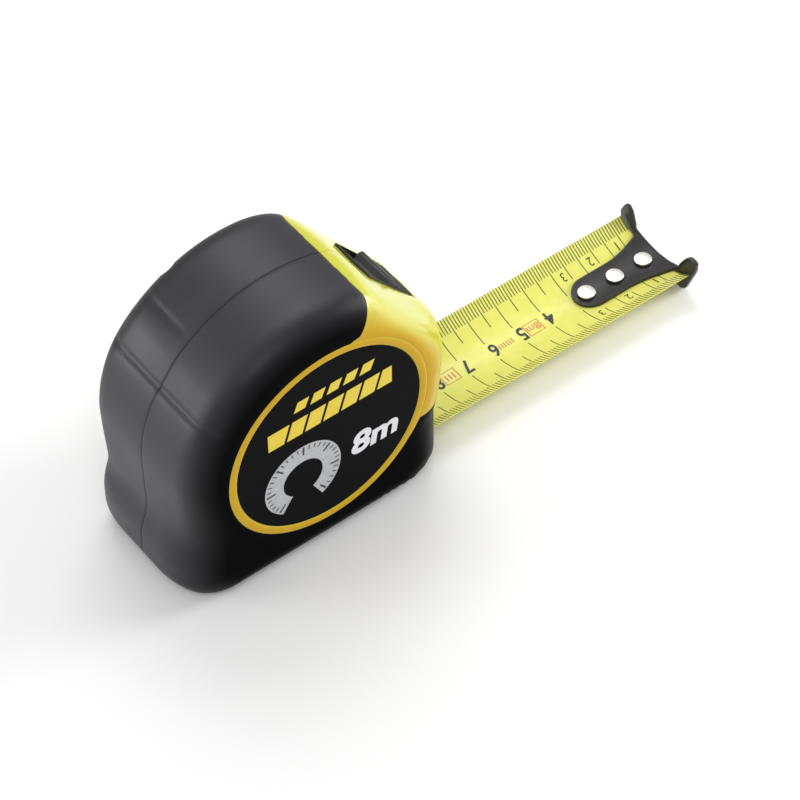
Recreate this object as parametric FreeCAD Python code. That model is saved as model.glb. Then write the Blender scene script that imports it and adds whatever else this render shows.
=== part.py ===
import FreeCAD, Part
import math
import os

from FreeCAD import Vector

# Closed-case tape measure, 8 m blade. Millimetres.
# Origin: on the base plane, under the drum axis, at mid-width.
# +X runs out along the blade, +Z is up, +Y is the belt clip's side.

# ---- driving dimensions: blade and reel -------------------------------------------------
BLADE_WIDTH = 32.0         # measured round its curve
BLADE_CURVE = 24.6         # cross radius of the extended blade
BLADE_THICK = 0.25
BLADE_UNDERSIDE = 3.6      # lowest line of the blade above the base
BLADE_LENGTH_WOUND = 7850.0
BLADE_STRIP_THICK = 0.185  # per wound turn, coating included
LEAD_START = 2.0           # where the blade leaves the coil, ahead of the axis
LEAD_BEND_END = 15.0       # where it has taken up its full cross curve
LEAD_FLAT_CURVE = 200.0    # cross radius where it leaves the coil
HUB_RADIUS = 24.0
REEL_WIDTH = 31.0
DRUM_WALL = 1.6
WEB_THICK = 1.5
SLEEVE_WALL = 2.0
WASHER_REACH = 3.0         # washer beyond the post
POST_RADIUS = 4.0
POST_COVER = 2.6           # case wall left over each end of the post
POST_SLOT = 0.8
POST_SLOT_INSET = 3.0      # slot ends inside the reel's faces
SPRING_STRIP = 0.35
SPRING_TURNS = 13
SPRING_ROOM = 0.8          # between the spring and what it winds on or in

# ---- driving dimensions: case -----------------------------------------------------------
AXIS_HEIGHT = 42.5         # drum axis above the base
COIL_ROOM = 7.08           # free space round the full coil, inside the wall
REAR_FLARE = 2.7           # foot of the back stands out behind the round back
NOSE_STEP = 1.5            # nose stands out ahead of the back's radius
CASE_WIDTH = 46.8
EDGE_ROUND = 7.5           # rounding between the sides and the back, top and base
FOOT_ROUND = 8.0           # rounding of the foot and the chin, seen from the side
FLARE_BOTTOM = 12.0        # heights between which the back flares into the foot
FLARE_TOP = 26.0
TOP_ARC_END = 69.0         # degrees above the axis where the round top ends
BROW_RUN = 7.7             # brow between the round top and the slope of the nose
BROW_FALL = 5.9
SLOPE_RUN = 12.0           # slope that carries the lock
SLOPE_FALL = 15.1
NOSE_TIP_RISE = 8.5        # end of the nose's curve above the axis
NOSE_TIP_BACK = 1.0
NOSE_TRIM = 1.5            # side view runs this far past the plan view, which trims it
CHIN_DROP = 2.0            # start of the straight front below the axis
NOSE_CURVE = 30.0          # plan radius of the nose
NOSE_CORNER_TURN = 50.0    # degrees turned by the corner between a side and the nose
REAR_CORNER = 14.0         # plan radius of the rear corners
REAR_TRIM = 0.8            # plan view runs this far past the foot
RUBBER = 1.5               # overmould thickness
SHELL = 2.0                # moulded wall
SEAM_HEADING = 20.0        # direction in which the overmould's top seam leaves the ring
SEAM_FOOT_BACK = 8.0       # where that seam leaves the ring, behind its top end
SEAM_FOOT_RISE = 28.0      # and above the axis
SEAM_CORNER_BACK = 1.5     # where it turns over the edge
SEAM_CORNER_RISE = 33.0
FRONT_SEAM_DROP = 13.5     # seam round the lower front, below the axis
LABEL_RADIUS = 29.3
LABEL_THICK = 0.3
RING_RADIUS = 32.5         # moulded ring that frames the label
RING_PROUD = 0.2           # ring stands this far out of the rubber
RING_ROOT = 2.0            # and reaches this far into the wall
MOUTH_SIDE_ROOM = 1.2      # beside the blade
MOUTH_TOP_ROOM = 2.6       # above the blade's edges, for the hook's rivets
MOUTH_FLOOR_ROOM = 0.8     # under the blade
MOUTH_THROAT = 7.0         # straight throat behind the bumper
BUMPER_WALL = 1.6
BUMPER_DEPTH = 4.0
BUMPER_SETBACK = 0.6       # bumper's face behind the nose
BUMPER_INSET = 0.3         # bumper's edge inside the case's skin
TRENCH_HALF_WIDTH = 8.0    # groove in floor and foot for the rivets' tails and the blade's end
RAIL_OUTER = 29.0          # rails that keep the coil centred
RAIL_INNER = 27.0
AXLE_BOSS_RADIUS = 9.0
AXLE_BOSS_ROOM = 0.8       # between the reel and the boss, filled by a washer
BOSS_RADIUS = 3.2          # screw bosses

# ---- driving dimensions: screws ---------------------------------------------------------
SCREW_RADIUS = 1.45
SCREW_HEAD_RADIUS = 2.8
SCREW_SOCKET_RADIUS = 1.3
SCREW_SOCKET_DEPTH = 1.1
HEAD_THICK = 1.8
HEAD_DEPTH = 3.4           # seat of the case screws' heads below the side
HEAD_ROOM = 0.2
SCREW_TIP_DEPTH = 6.0      # end of the screws inside the opposite side
SCREW_TIP_ROOM = 0.5
REAR_SCREW_INSET = 5.8     # rear foot screw, from the round back
REAR_SCREW_HEIGHT = 15.5
FRONT_SCREW_INSET = 12.8   # front foot screw, from the nose
FRONT_SCREW_HEIGHT = 19.5
TOP_SCREW_INSET = 4.7      # two screws under the top, from the round back
TOP_SCREW_ANGLE = 114.7
BROW_SCREW_INSET = 6.1
BROW_SCREW_ANGLE = 68.5
CLIP_SCREW_HEIGHT = 54.0
CLIP_SCREW_DEPTH = 6.4     # end of the clip's screw hole below the side

# ---- driving dimensions: clearances -----------------------------------------------------
SLIDE_GAP = 0.3            # clearance between sliding pieces
RUNNING_GAP = 0.05         # radial clearance of a shaft in its bore
CONTACT_GAP = 0.05         # between a fixed piece and the face it lies on
WASHER_GAP = 0.1
WELD = 0.5                 # depth to which joined shapes run into each other

# ---- driving dimensions: lock and brake -------------------------------------------------
LOCK_WIDTH = 14.4
LOCK_LENGTH = 18.0
LOCK_TRAVEL = 6.0
LOCK_PROUD = 1.8
LOCK_SLOT_START = 4.5      # from the top of the slope
LOCK_SLOT_DEPTH = 8.0
LOCK_FLANGE_THICK = 1.1
LOCK_FLANGE_MARGIN = 2.2
LOCK_EDGE_ROUND = 0.8
RIB_COUNT = 5
RIB_PITCH = 2.4
RIB_START = 3.6
RIB_RADIUS = 0.55
RIB_RISE = 0.15            # centre of a groove above the pad
CREST_LENGTH = 2.2
CREST_INSET = 1.2
CREST_RISE = 0.9
CREST_ROUND = 0.5
LEG_THICK = 2.7
LEG_SETBACK = 4.8          # leg's front face behind the nose
LEG_HALF_WIDTH = 4.5
LEG_TOP_RISE = 7.0         # above the axis
SHOE_TOP_DROP = 6.5        # below the axis
SHOE_BAR_BOTTOM = 10.3
SHOE_BAR_THICK = 2.7
SHOE_NECK_LENGTH = 9.8
SHOE_PAD_LENGTH = 4.0
SHOE_EDGE_INSET = 1.5      # pads inside the blade's edges
SHOE_PAD_WIDTH = 4.6

# ---- driving dimensions: end hook -------------------------------------------------------
HOOK_REACH = 134.4         # outer face of the hook, blade out as drawn
HOOK_THICK = 1.0
HOOK_TANG_WIDTH = 11.5
HOOK_TANG_LENGTH = 31.0
HOOK_FLARE_LENGTH = 15.0   # length over which the tang widens to the plate
HOOK_FLARE = 9.6           # half-width at the plate
HOOK_PLAY = 0.5            # each way, so outside and inside readings both start at zero
END_PLATE_THICK = 1.2
HOOK_HALF_WIDTH = 16.8
HOOK_EAR_ROOT = 4.0        # ear's root inside its outer edge
HOOK_EAR_TOP = 14.6
HOOK_EAR_WIDTH = 3.4
HOOK_EAR_CHAMFER = 1.0
HOOK_FANG_BOTTOM = 0.7
HOOK_FANG_INNER = 7.0
HOOK_FANG_OUTER = 13.2
HOOK_NOTCH_HALF_WIDTH = 4.5
HOOK_NOTCH_TOP = 2.2
RIVET_RADIUS = 1.25
RIVET_HEAD_RADIUS = 2.5
RIVET_HEAD_HEIGHT = 1.1
RIVET_TAIL_THICK = 0.4
RIVET_SETBACKS = (6.0, 16.5, 27.0)
RIVET_SLOT_ROOM = 0.15

# ---- driving dimensions: belt clip ------------------------------------------------------
CLIP_WIDTH = 20.0
CLIP_THICK = 1.2
CLIP_GAP = 5.6             # room for a belt behind the clip
CLIP_TOP = 58.0
CLIP_BOTTOM = 14.0
CLIP_FOOT_DROP = 8.0       # foot runs this far below its screw
CLIP_CORNER = 6.0
CLIP_ACCESS_ROOM = 0.6     # round the screw head, in the leaf

# ---- derived sizes ----------------------------------------------------------------------
HALF_WIDTH = CASE_WIDTH / 2
CAVITY_INSET = RUBBER + SHELL
CAVITY_HALF_WIDTH = HALF_WIDTH - CAVITY_INSET
COIL_RADIUS = math.sqrt(HUB_RADIUS ** 2 + BLADE_LENGTH_WOUND * BLADE_STRIP_THICK / math.pi)
BACK_RADIUS = COIL_RADIUS + COIL_ROOM + CAVITY_INSET
REAR_REACH = BACK_RADIUS + REAR_FLARE
NOSE_REACH = BACK_RADIUS + NOSE_STEP
BLADE_HALF_ANGLE = BLADE_WIDTH / 2 / BLADE_CURVE
BLADE_CHORD = 2 * BLADE_CURVE * math.sin(BLADE_HALF_ANGLE)
BLADE_SAG = BLADE_CURVE * (1 - math.cos(BLADE_HALF_ANGLE))
BLADE_AXIS_HEIGHT = BLADE_UNDERSIDE + BLADE_THICK + BLADE_CURVE
BLADE_EDGE_HEIGHT = BLADE_UNDERSIDE + BLADE_THICK + BLADE_SAG
TIP_START = NOSE_REACH + 3.7
POST_HALF_LENGTH = HALF_WIDTH - POST_COVER
SPRING_INNER = POST_RADIUS + SPRING_ROOM
SPRING_OUTER = HUB_RADIUS - DRUM_WALL - SPRING_ROOM
SCREW_HOLE = SCREW_RADIUS + RUNNING_GAP
HEAD_HOLE = SCREW_HEAD_RADIUS + HEAD_ROOM
HEAD_SEAT = HALF_WIDTH - HEAD_DEPTH
SCREW_END = -HALF_WIDTH + SCREW_TIP_DEPTH
CLIP_SCREW_END = HALF_WIDTH - CLIP_SCREW_DEPTH
FLOOR_TOP = BLADE_UNDERSIDE - MOUTH_FLOOR_ROOM
MOUTH_HALF_WIDTH = BLADE_CHORD / 2 + MOUTH_SIDE_ROOM
MOUTH_TOP = BLADE_EDGE_HEIGHT + MOUTH_TOP_ROOM
BUMPER_FRONT = NOSE_REACH - BUMPER_SETBACK
BUMPER_BACK = BUMPER_FRONT - BUMPER_DEPTH
RAIL_REACH = BLADE_WIDTH / 2 + WELD
AXLE_BOSS_REACH = REEL_WIDTH / 2 + AXLE_BOSS_ROOM
LOCK_SLOT_LENGTH = LOCK_LENGTH + LOCK_TRAVEL + 2 * SLIDE_GAP
LOCK_START = LOCK_SLOT_START + SLIDE_GAP + LOCK_TRAVEL
LOCK_FLANGE_DEPTH = CAVITY_INSET + SLIDE_GAP
LOCK_FLANGE_BOTTOM = LOCK_FLANGE_DEPTH + LOCK_FLANGE_THICK
SLOPE_ANGLE = math.degrees(math.atan2(SLOPE_FALL, SLOPE_RUN))
LEG_FRONT = NOSE_REACH - LEG_SETBACK
LEG_BACK = LEG_FRONT - LEG_THICK
SHOE_BACK = LEG_BACK - SHOE_NECK_LENGTH
SHOE_TOP = AXIS_HEIGHT - SHOE_TOP_DROP
SHOE_HALF_WIDTH = BLADE_CHORD / 2 - SHOE_EDGE_INSET
AXIS = Vector(0, 0, AXIS_HEIGHT)
FAR = 100.0
Y_AXIS = Vector(0, 1, 0)


# ---- drawing helpers ----------------------------------------------------------------
def polar(radius, degrees):
    return radius * math.cos(math.radians(degrees)), radius * math.sin(math.radians(degrees))


class Outline:
    """A closed outline of lines and tangent arcs in a plane, drawn like a pen."""

    def __init__(self, start, heading, place):
        self.start = start
        self.here = start
        self.heading = heading
        self.place = place
        self.edges = []

    def line_to(self, end):
        self.edges.append(Part.LineSegment(self.place(*self.here), self.place(*end)).toShape())
        self.heading = math.degrees(math.atan2(end[1] - self.here[1], end[0] - self.here[0]))
        self.here = end

    def arc_to(self, end):
        """Arc that leaves along the heading and ends at a point."""
        chord_x = end[0] - self.here[0]
        chord_y = end[1] - self.here[1]
        chord = math.hypot(chord_x, chord_y)
        turn = math.degrees(math.atan2(chord_y, chord_x)) - self.heading
        turn = (turn + 180) % 360 - 180
        rise = chord / 2 * math.tan(math.radians(turn) / 2)
        middle = (self.here[0] + chord_x / 2 + rise * chord_y / chord,
                  self.here[1] + chord_y / 2 - rise * chord_x / chord)
        arc = Part.Arc(self.place(*self.here), self.place(*middle), self.place(*end))
        self.edges.append(arc.toShape())
        self.heading += 2 * turn
        self.here = end

    def turn_by(self, radius, degrees):
        """Arc of a given radius; a positive turn is to the left."""
        side = 1 if degrees > 0 else -1
        centre_x, centre_y = polar(radius, self.heading + 90 * side)
        out_x, out_y = polar(radius, self.heading - 90 * side + degrees)
        end = (self.here[0] + centre_x + out_x, self.here[1] + centre_y + out_y)
        self.arc_to(end)

    def face(self):
        if math.dist(self.here, self.start) > 1e-6:
            self.line_to(self.start)
        return Part.Face(Part.Wire(self.edges))


def on_side(x, z):
    return Vector(x, 0, z)


def on_plan(x, y):
    return Vector(x, y, 0)


def on_front(y, z):
    return Vector(0, y, z)


def polygon(points, place):
    corners = [place(*point) for point in points]
    return Part.Face(Part.makePolygon(corners + corners[:1]))


def centred_prism(face, width):
    """Extrude a side-view face to both sides of the mid-plane."""
    prism = face.copy()
    prism.translate(Vector(0, -width / 2, 0))
    return prism.extrude(Vector(0, width, 0))


def box(x_range, y_range, z_range):
    return Part.makeBox(x_range[1] - x_range[0], y_range[1] - y_range[0], z_range[1] - z_range[0],
                        Vector(x_range[0], y_range[0], z_range[0]))


def cross_cylinder(radius, y_range, centre=AXIS):
    """Cylinder whose axis runs across the case."""
    base = Vector(centre.x, y_range[0], centre.z)
    return Part.makeCylinder(radius, y_range[1] - y_range[0], base, Y_AXIS)


def cross_ring(outer, inner, y_range, centre=AXIS):
    return cross_cylinder(outer, y_range, centre).cut(cross_cylinder(inner, y_range, centre))


# ---- case envelope ------------------------------------------------------------------
def top_arc_end():
    """Side-view point where the round top ends."""
    x, rise = polar(BACK_RADIUS, TOP_ARC_END)
    return x, AXIS_HEIGHT + rise


def slope_top():
    """Side-view point where the slope of the nose starts."""
    x, z = top_arc_end()
    return x + BROW_RUN, z - BROW_FALL


def side_profile():
    """Side view of the case: flared foot, round back and top, falling nose, chin."""
    slope_x, slope_z = slope_top()
    front = NOSE_REACH + NOSE_TRIM
    pen = Outline((-REAR_REACH + FOOT_ROUND, 0), 180, on_side)
    pen.turn_by(FOOT_ROUND, -90)
    pen.line_to((-REAR_REACH, FLARE_BOTTOM))
    pen.arc_to((-(REAR_REACH + BACK_RADIUS) / 2, (FLARE_BOTTOM + FLARE_TOP) / 2))
    pen.arc_to((-BACK_RADIUS, FLARE_TOP))
    pen.line_to((-BACK_RADIUS, AXIS_HEIGHT))
    pen.heading = 90
    pen.arc_to(top_arc_end())
    pen.arc_to((slope_x, slope_z))
    pen.arc_to((slope_x + SLOPE_RUN, slope_z - SLOPE_FALL))
    pen.arc_to((NOSE_REACH - NOSE_TIP_BACK, AXIS_HEIGHT + NOSE_TIP_RISE))
    pen.arc_to((front, AXIS_HEIGHT - CHIN_DROP))
    pen.heading = -90
    pen.line_to((front, FOOT_ROUND))
    pen.turn_by(FOOT_ROUND, -90)
    return pen.face()


def plan_outline():
    """Plan view of the case: straight sides, round rear corners, bowed nose."""
    corner_turn = math.radians(NOSE_CORNER_TURN)
    nose_turn = 90 - NOSE_CORNER_TURN
    nose_x, nose_y = polar(NOSE_CURVE, nose_turn)
    corner = (HALF_WIDTH - nose_y) / (1 - math.cos(corner_turn))
    corner_x = NOSE_REACH - NOSE_CURVE + nose_x - corner * math.sin(corner_turn)
    rear_x = -REAR_REACH - REAR_TRIM
    pen = Outline((rear_x + REAR_CORNER, -HALF_WIDTH), 0, on_plan)
    pen.line_to((corner_x, -HALF_WIDTH))
    pen.turn_by(corner, NOSE_CORNER_TURN)
    pen.turn_by(NOSE_CURVE, 2 * nose_turn)
    pen.turn_by(corner, NOSE_CORNER_TURN)
    pen.line_to((rear_x + REAR_CORNER, HALF_WIDTH))
    pen.turn_by(REAR_CORNER, 90)
    pen.line_to((rear_x, -HALF_WIDTH + REAR_CORNER))
    pen.turn_by(REAR_CORNER, 90)
    return pen.face()


def inset_face(face, inset):
    return face.makeOffset2D(-inset) if inset else face


def outer_rims(prism, width):
    """Edges that run round the two side faces of a side-view prism."""
    return [edge for edge in prism.Edges
            if abs(edge.BoundBox.YMin) > width / 2 - 0.01 and edge.BoundBox.YLength < 0.01]


def envelope(inset):
    """Solid of the case's outer form, moved inwards by an inset."""
    width = CASE_WIDTH - 2 * inset
    body = centred_prism(inset_face(side_profile(), inset), width)
    body = body.makeFillet(EDGE_ROUND - inset, outer_rims(body, width))
    plan = inset_face(plan_outline(), inset)
    plan.translate(Vector(0, 0, -FAR))
    return body.common(plan.extrude(Vector(0, 0, 3 * FAR)))


def rubber_region():
    """Side-view area that the overmould covers: back, base and lower front."""
    seam_x = top_arc_end()[0]
    front_z = AXIS_HEIGHT - FRONT_SEAM_DROP
    foot_z = AXIS_HEIGHT + SEAM_FOOT_RISE
    pen = Outline((-FAR, -FAR), 0, on_side)
    pen.line_to((FAR, -FAR))
    pen.line_to((FAR, front_z))
    pen.line_to((0, front_z))
    pen.line_to((0, foot_z))
    pen.line_to((seam_x - SEAM_FOOT_BACK, foot_z))
    pen.heading = SEAM_HEADING
    pen.arc_to((seam_x - SEAM_CORNER_BACK, AXIS_HEIGHT + SEAM_CORNER_RISE))
    pen.line_to((seam_x, AXIS_HEIGHT + FAR))
    pen.line_to((-FAR, AXIS_HEIGHT + FAR))
    return centred_prism(pen.face(), 2 * FAR)


# ---- lock: drawn with x down the slope of the nose and z out of it --------------------------
def on_slope(shape):
    x, z = slope_top()
    placed = shape.copy()
    placed.rotate(Vector(0, 0, 0), Y_AXIS, SLOPE_ANGLE)
    placed.translate(Vector(x, 0, z))
    return placed


def centred_box(x_range, half_width, z_range):
    return box(x_range, (-half_width, half_width), z_range)


def lock_space():
    """Slot that the button slides in, and the room that its flange sweeps behind the wall."""
    half = LOCK_WIDTH / 2 + SLIDE_GAP
    slot_end = LOCK_SLOT_START + LOCK_SLOT_LENGTH
    slot = centred_box((LOCK_SLOT_START, slot_end), half, (-LOCK_SLOT_DEPTH, LOCK_SLOT_DEPTH))
    sweep = centred_box((LOCK_SLOT_START - LOCK_FLANGE_MARGIN, slot_end + LOCK_FLANGE_MARGIN),
                        half + LOCK_FLANGE_MARGIN, (-LOCK_FLANGE_BOTTOM - SLIDE_GAP, -CAVITY_INSET))
    return on_slope(slot.fuse(sweep))


def top_edges(shape, height):
    return [edge for edge in shape.Edges if edge.BoundBox.ZMin > height - 0.01]


def lock_button():
    """Slider on the nose: ribbed thumb pad, stem in the slot, flange behind the wall, leg."""
    half = LOCK_WIDTH / 2
    end = LOCK_START + LOCK_LENGTH
    pad = centred_box((LOCK_START, end), half, (-LOCK_FLANGE_DEPTH, LOCK_PROUD))
    pad = pad.makeFillet(LOCK_EDGE_ROUND, top_edges(pad, LOCK_PROUD))
    for index in range(RIB_COUNT):
        rib_x = LOCK_START + RIB_START + index * RIB_PITCH
        start = Vector(rib_x, -half, LOCK_PROUD + RIB_RISE)
        pad = pad.cut(Part.makeCylinder(RIB_RADIUS, LOCK_WIDTH, start, Y_AXIS))
    crest_top = LOCK_PROUD + CREST_RISE
    crest = centred_box((LOCK_START, LOCK_START + CREST_LENGTH), half - CREST_INSET, (0, crest_top))
    crest = crest.makeFillet(CREST_ROUND, top_edges(crest, crest_top))
    flange = centred_box((LOCK_START - LOCK_FLANGE_MARGIN, end + LOCK_FLANGE_MARGIN),
                         half + LOCK_FLANGE_MARGIN, (-LOCK_FLANGE_BOTTOM, -LOCK_FLANGE_DEPTH))
    leg = centred_box((LEG_BACK, LEG_FRONT), LEG_HALF_WIDTH,
                      (SHOE_TOP + SLIDE_GAP, AXIS_HEIGHT + LEG_TOP_RISE))
    return on_slope(pad.fuse(crest).fuse(flange)).fuse(leg).removeSplitter()


# ---- brake shoe: pushed down onto the blade beside the hook's tang -------------------------
def brake_shoe():
    bar_heights = (SHOE_BAR_BOTTOM, SHOE_BAR_BOTTOM + SHOE_BAR_THICK)
    pad_xs = (SHOE_BACK, SHOE_BACK + SHOE_PAD_LENGTH)
    post = centred_box((LEG_BACK, LEG_FRONT), LEG_HALF_WIDTH, (SHOE_BAR_BOTTOM, SHOE_TOP))
    neck = centred_box((SHOE_BACK, LEG_FRONT), LEG_HALF_WIDTH, bar_heights)
    bar = centred_box(pad_xs, SHOE_HALF_WIDTH, bar_heights)
    shoe = post.fuse(neck).fuse(bar)
    trough = Part.makeCylinder(BLADE_CURVE - SLIDE_GAP, FAR, Vector(0, 0, BLADE_AXIS_HEIGHT),
                               Vector(1, 0, 0))
    for side in (-1, 1):
        pad_ys = sorted((side * (SHOE_HALF_WIDTH - SHOE_PAD_WIDTH), side * SHOE_HALF_WIDTH))
        pad = box(pad_xs, pad_ys, (BLADE_UNDERSIDE, SHOE_BAR_BOTTOM))
        shoe = shoe.fuse(pad.common(trough))
    return shoe.removeSplitter()


# ---- case halves ----------------------------------------------------------------------
def screw_places():
    """Side-view places of the case screws: two in the foot, two under the top."""
    top_x, top_rise = polar(BACK_RADIUS - TOP_SCREW_INSET, TOP_SCREW_ANGLE)
    brow_x, brow_rise = polar(BACK_RADIUS - BROW_SCREW_INSET, BROW_SCREW_ANGLE)
    return [(-BACK_RADIUS + REAR_SCREW_INSET, REAR_SCREW_HEIGHT),
            (NOSE_REACH - FRONT_SCREW_INSET, FRONT_SCREW_HEIGHT),
            (top_x, AXIS_HEIGHT + top_rise),
            (brow_x, AXIS_HEIGHT + brow_rise)]


def screw_space(x, z, radius):
    """Shank hole and head recess of one case screw."""
    centre = Vector(x, 0, z)
    shank = cross_cylinder(radius, (SCREW_END - SCREW_TIP_ROOM, HALF_WIDTH), centre)
    return shank.fuse(cross_cylinder(HEAD_HOLE, (HEAD_SEAT, HALF_WIDTH + RING_ROOT), centre))


def mouth_space(margin, x_range):
    return box(x_range, (-MOUTH_HALF_WIDTH - margin, MOUTH_HALF_WIDTH + margin),
               (FLOOR_TOP, MOUTH_TOP + margin))


def split_halves(shape):
    right = shape.common(box((-FAR, FAR), (-FAR, 0), (-FAR, 2 * FAR)))
    left = shape.common(box((-FAR, FAR), (0, FAR), (-FAR, 2 * FAR)))
    return right, left


def with_side_features(case, side):
    """Add one side's ring, coil rail and axle boss, and sink its label recess."""
    outer_y = side * (HALF_WIDTH + RING_ROOT)
    wall_y = side * (CAVITY_HALF_WIDTH + WELD)
    ring_y = sorted((side * (HALF_WIDTH - RING_ROOT), side * (HALF_WIDTH + RING_PROUD)))
    label_space = LABEL_RADIUS + CONTACT_GAP
    case = case.fuse(cross_ring(RING_RADIUS, label_space, ring_y))
    case = case.cut(cross_cylinder(label_space, sorted((side * (HALF_WIDTH - LABEL_THICK), outer_y))))
    case = case.fuse(cross_ring(RAIL_OUTER, RAIL_INNER, sorted((side * RAIL_REACH, wall_y))))
    return case.fuse(cross_cylinder(AXLE_BOSS_RADIUS, sorted((side * AXLE_BOSS_REACH, wall_y))))


def with_screw_bosses(case):
    posts = [cross_cylinder(BOSS_RADIUS, (-HALF_WIDTH, HALF_WIDTH), Vector(x, 0, z))
             for x, z in screw_places()]
    case = case.fuse(envelope(RUBBER + WELD).common(posts[0].multiFuse(posts[1:])))
    clip_boss = cross_cylinder(BOSS_RADIUS, (CLIP_SCREW_END - SHELL / 4, CAVITY_HALF_WIDTH + WELD),
                               Vector(0, 0, CLIP_SCREW_HEIGHT))
    return case.fuse(clip_boss)


def case_openings():
    """Everything cut through the case: screw holes, post sockets, lock slot, mouth, floor groove."""
    past_nose = NOSE_REACH + FOOT_ROUND
    cuts = [screw_space(x, z, SCREW_HOLE) for x, z in screw_places()]
    cuts.append(cross_cylinder(POST_RADIUS + RUNNING_GAP, (-POST_HALF_LENGTH, POST_HALF_LENGTH)))
    cuts.append(cross_cylinder(SCREW_HOLE, (CLIP_SCREW_END, HALF_WIDTH + WELD),
                               Vector(0, 0, CLIP_SCREW_HEIGHT)))
    cuts.append(lock_space())
    cuts.append(centred_box((-REAR_REACH + CAVITY_INSET, past_nose), TRENCH_HALF_WIDTH,
                            (FLOOR_TOP, FOOT_ROUND)))
    cuts.append(mouth_space(0, (BUMPER_BACK - MOUTH_THROAT, past_nose)))
    cuts.append(mouth_space(BUMPER_WALL, (BUMPER_BACK, past_nose)))
    return cuts[0].multiFuse(cuts[1:])


def case_and_grips():
    outside = envelope(0)
    skin = outside.cut(envelope(RUBBER)).common(rubber_region())
    grips = skin.cut(cross_cylinder(RING_RADIUS, (-FAR, FAR)))
    case = outside.cut(grips).cut(envelope(CAVITY_INSET))
    for side in (-1, 1):
        case = with_side_features(case, side)
    case = with_screw_bosses(case)
    tool = case_openings()
    case_right, case_left = split_halves(case.cut(tool))
    grip_right, grip_left = split_halves(grips.cut(tool))
    return {"case_right": case_right, "case_left": case_left,
            "grip_right": grip_right, "grip_left": grip_left}


def mouth_bumper():
    """Soft liner of the mouth that takes the hook's return."""
    x_range = (BUMPER_BACK + CONTACT_GAP, BUMPER_FRONT)
    outer = mouth_space(BUMPER_WALL - CONTACT_GAP, x_range)
    inner = mouth_space(0, (BUMPER_BACK - WELD, NOSE_REACH))
    return outer.cut(inner).common(envelope(BUMPER_INSET))


def socket_screw(shank_start, seat, centre):
    """Screw whose head sits at a given y and faces +Y."""
    top = seat + HEAD_THICK
    shank = cross_cylinder(SCREW_RADIUS, (shank_start, seat), centre)
    head = cross_cylinder(SCREW_HEAD_RADIUS, (seat, top), centre)
    socket = cross_cylinder(SCREW_SOCKET_RADIUS, (top - SCREW_SOCKET_DEPTH, top), centre)
    return shank.fuse(head).cut(socket)


def case_screws():
    return Part.makeCompound([socket_screw(SCREW_END, HEAD_SEAT, Vector(x, 0, z))
                              for x, z in screw_places()])


def label(side):
    disc_y = sorted((side * (HALF_WIDTH - LABEL_THICK), side * HALF_WIDTH))
    disc = cross_cylinder(LABEL_RADIUS, disc_y)
    if side > 0:
        disc = disc.cut(cross_cylinder(SCREW_HOLE, (0, FAR), Vector(0, 0, CLIP_SCREW_HEIGHT)))
    return disc


# ---- belt clip --------------------------------------------------------------------------
def clip_tube(radius, centre_y):
    half = CLIP_WIDTH / 2
    return Part.makeCylinder(radius, CLIP_WIDTH, Vector(-half, centre_y, CLIP_TOP), Vector(1, 0, 0))


def belt_clip():
    """Spring leaf bent from one strip: foot on the case, bend at the top, leaf down the side."""
    seat = HALF_WIDTH + CONTACT_GAP
    half = CLIP_WIDTH / 2
    bend_inner = CLIP_GAP / 2
    bend_outer = bend_inner + CLIP_THICK
    bend_y = seat + CLIP_THICK + bend_inner
    leaf_y = (bend_y + bend_inner, bend_y + bend_outer)
    centre = Vector(0, 0, CLIP_SCREW_HEIGHT)
    foot = box((-half, half), (seat, seat + CLIP_THICK), (CLIP_SCREW_HEIGHT - CLIP_FOOT_DROP, CLIP_TOP))
    bend = clip_tube(bend_outer, bend_y).cut(clip_tube(bend_inner, bend_y))
    bend = bend.common(box((-half, half), (0, FAR), (CLIP_TOP, FAR)))
    leaf = box((-half, half), leaf_y, (CLIP_BOTTOM, CLIP_TOP))
    corner_edges = [edge for edge in leaf.Edges
                    if edge.BoundBox.ZMax < CLIP_BOTTOM + 0.1 and edge.BoundBox.YLength > CLIP_THICK / 2]
    leaf = leaf.makeFillet(CLIP_CORNER, corner_edges)
    access = cross_cylinder(SCREW_HEAD_RADIUS + CLIP_ACCESS_ROOM, (leaf_y[0] - 1, leaf_y[1] + 1), centre)
    hole = cross_cylinder(SCREW_HOLE, (0, seat + CLIP_THICK + WELD), centre)
    return foot.fuse(bend).fuse(leaf).cut(access).cut(hole).removeSplitter()


def clip_screw():
    seat = HALF_WIDTH + 2 * CONTACT_GAP + CLIP_THICK
    return socket_screw(CLIP_SCREW_END + SLIDE_GAP, seat, Vector(0, 0, CLIP_SCREW_HEIGHT))


# ---- reel -------------------------------------------------------------------------------
def center_post():
    """Fixed post between the case halves, slotted for the spring's inner end."""
    half = POST_HALF_LENGTH - CONTACT_GAP
    slot_reach = REEL_WIDTH / 2 - POST_SLOT_INSET
    slot = box((-POST_SLOT / 2, POST_SLOT / 2), (-slot_reach, slot_reach),
               (AXIS_HEIGHT - 2 * POST_RADIUS, AXIS_HEIGHT - POST_SLOT / 2))
    return cross_cylinder(POST_RADIUS, (-half, half)).cut(slot)


def drum():
    half = REEL_WIDTH / 2
    bore = POST_RADIUS + RUNNING_GAP
    rim = cross_ring(HUB_RADIUS, HUB_RADIUS - DRUM_WALL, (-half, half))
    web = cross_ring(HUB_RADIUS - WELD, bore, (-half, -half + WEB_THICK))
    sleeve = cross_ring(bore + SLEEVE_WALL, bore, (-half, -half + 2 * WEB_THICK))
    return rim.fuse(web).fuse(sleeve).removeSplitter()


def drum_cover():
    half = REEL_WIDTH / 2
    return cross_ring(HUB_RADIUS - DRUM_WALL - CONTACT_GAP, POST_RADIUS + RUNNING_GAP,
                      (half - WEB_THICK, half))


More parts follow.
